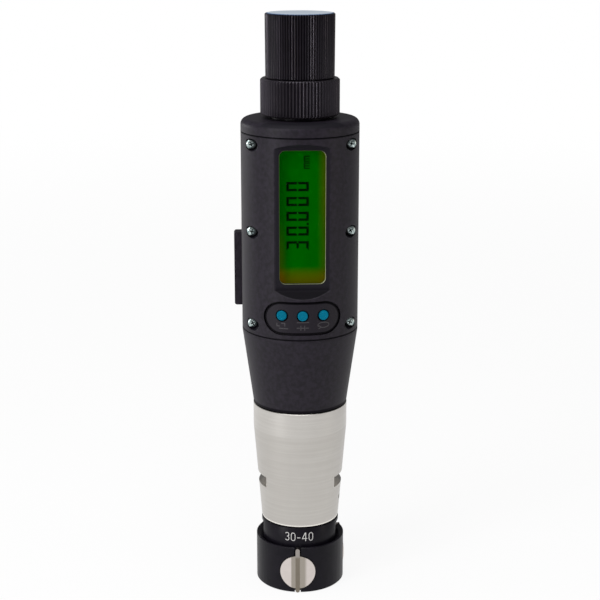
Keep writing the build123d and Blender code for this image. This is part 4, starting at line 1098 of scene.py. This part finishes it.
def padMarks():
    s = markShape
    shapes = []
    for run in s["left"] + s["middle"] + [bend(**s["oval"]), s["arrow"]]:
        shapes += ribbonShapes(run, s["line"])
    bm = sliced(polygonSheet(shapes), s["slice"])
    laid(bm, s["depth"], s["proud"], onCylinder(s["radius"], -90, 0))
    grey = printed("markGrey", rgb(38, 35, 40), rgb(54, 51, 56), 0.3)
    newPiece("padMarks", bm, "housing", grey)


padMarks()
print("marks")


# Floor, light and camera

# distances on the floor, the floor's size and the lamps' places and sizes are in metres
studio = {"floorSize": 6.0, "nearShare": 0.88, "shareRise": (0.15, 1.1), "floorGloss": 0.86, "rightDim": 0.9,
          "dimRise": (0.0, 0.2), "glossRise": (0.7, 1.7), "worldLight": 0.5, "worldGloss": 0.22,
          "focal": 85.32, "camera": (-20.97, -444.6, 216.8), "pitch": -15.11, "heading": -2.7}
lamps = {"softLeft": {"place": (-0.75, -0.65, 0.65), "aim": (0, 0, 0.1), "size": (0.5, 0.5), "watts": 4.0},
         "stripLeft": {"place": (-0.8, -0.6, 0.17), "aim": (0, 0, 0.17), "size": (0.06, 0.3), "watts": 2.2},
         "stripRight": {"place": (0.91, -0.41, 0.17), "aim": (0, 0, 0.17), "size": (0.04, 0.3), "watts": 0.8,
                        "tint": (1.0, 0.93, 0.82)},
         "backLeft": {"place": (-0.79, 0.62, 0.2), "aim": (0, 0, 0.18), "size": (0.3, 0.12), "watts": 1.5},
         "top": {"place": (-0.1, -0.3, 0.9), "aim": (0, 0, 0.1), "size": (0.7, 0.6), "watts": 4.5}}


def floor():
    bm = bmesh.new()
    bmesh.ops.create_grid(bm, x_segments=1, y_segments=1, size=studio["floorSize"])
    material, g = newGraph("paleFloor")
    cloud = g.grain(60.0, 2.0)
    tone = g.blend(cloud, (0.79, 0.79, 0.79, 1), (0.81, 0.81, 0.81, 1))
    matt = g.shader({"Base Color": tone, "Roughness": 0.9, "Specular IOR Level": 0.1})
    white = g.add("ShaderNodeEmission", None, {"Color": (1, 1, 1, 1), "Strength": 1.0})
    path = g.add("ShaderNodeLightPath")
    x, y, z = g.axes()
    away = ((x * x + y * y) ** 0.5) * mm              # the lit sheet ends, and the room past it is dim
    near = away.fall(*studio["glossRise"])
    share = studio["nearShare"] + away.rise(*studio["shareRise"]) * (1 - studio["nearShare"])
    seen = (path.out("Is Camera Ray") + path.out("Is Transmission Ray")) * share
    dimmed = 1 - (x * mm).rise(*studio["dimRise"]) * studio["rightDim"]
    mirrored = path.out("Is Glossy Ray") * near * dimmed * studio["floorGloss"]
    g.show(g.add("ShaderNodeMixShader", None, {0: (seen + mirrored).limited(), 1: matt, 2: white}))
    thing = bpy.data.objects.new("floor", meshOf("floor", bm))
    bpy.context.scene.collection.objects.link(thing)
    dress(thing, material)


def world():
    sky = bpy.data.worlds.new("studio")
    bpy.context.scene.world = sky
    sky.use_nodes = True
    sky.node_tree.nodes.clear()
    g = Graph(sky.node_tree)
    path = g.add("ShaderNodeLightPath")
    seen = (path.out("Is Camera Ray") + path.out("Is Transmission Ray")).limited()
    gloss = path.out("Is Glossy Ray")
    other = studio["worldLight"] + gloss * (studio["worldGloss"] - studio["worldLight"])
    light = g.add("ShaderNodeBackground", None,
                  {"Color": (1, 1, 1, 1), "Strength": seen + (1 - seen) * other})
    g.add("ShaderNodeOutputWorld", None, {"Surface": light})


def lamp(name, place, aim, size, watts, tint=(1, 1, 1)):
    light = bpy.data.lights.new(name, "AREA")
    light.shape = "RECTANGLE"
    light.size, light.size_y = size
    light.energy = watts
    light.color = tint
    thing = bpy.data.objects.new(name, light)
    bpy.context.scene.collection.objects.link(thing)
    thing.location = place
    thing.rotation_euler = (Vector(aim) - Vector(place)).to_track_quat("-Z", "Y").to_euler()


def camera():
    eye = bpy.data.cameras.new("camera")
    eye.lens = studio["focal"]
    eye.sensor_width = 36.0
    eye.clip_start = 0.01
    thing = bpy.data.objects.new("camera", eye)
    bpy.context.scene.collection.objects.link(thing)
    thing.location = Vector(studio["camera"]) * mm
    thing.rotation_euler = (radians(90 + studio["pitch"]), 0, radians(studio["heading"]))
    bpy.context.scene.camera = thing


floor()
world()
for lampName, lampValues in lamps.items():
    lamp(lampName, **lampValues)
camera()
bpy.context.scene.view_settings.view_transform = "Standard"
print("studio")
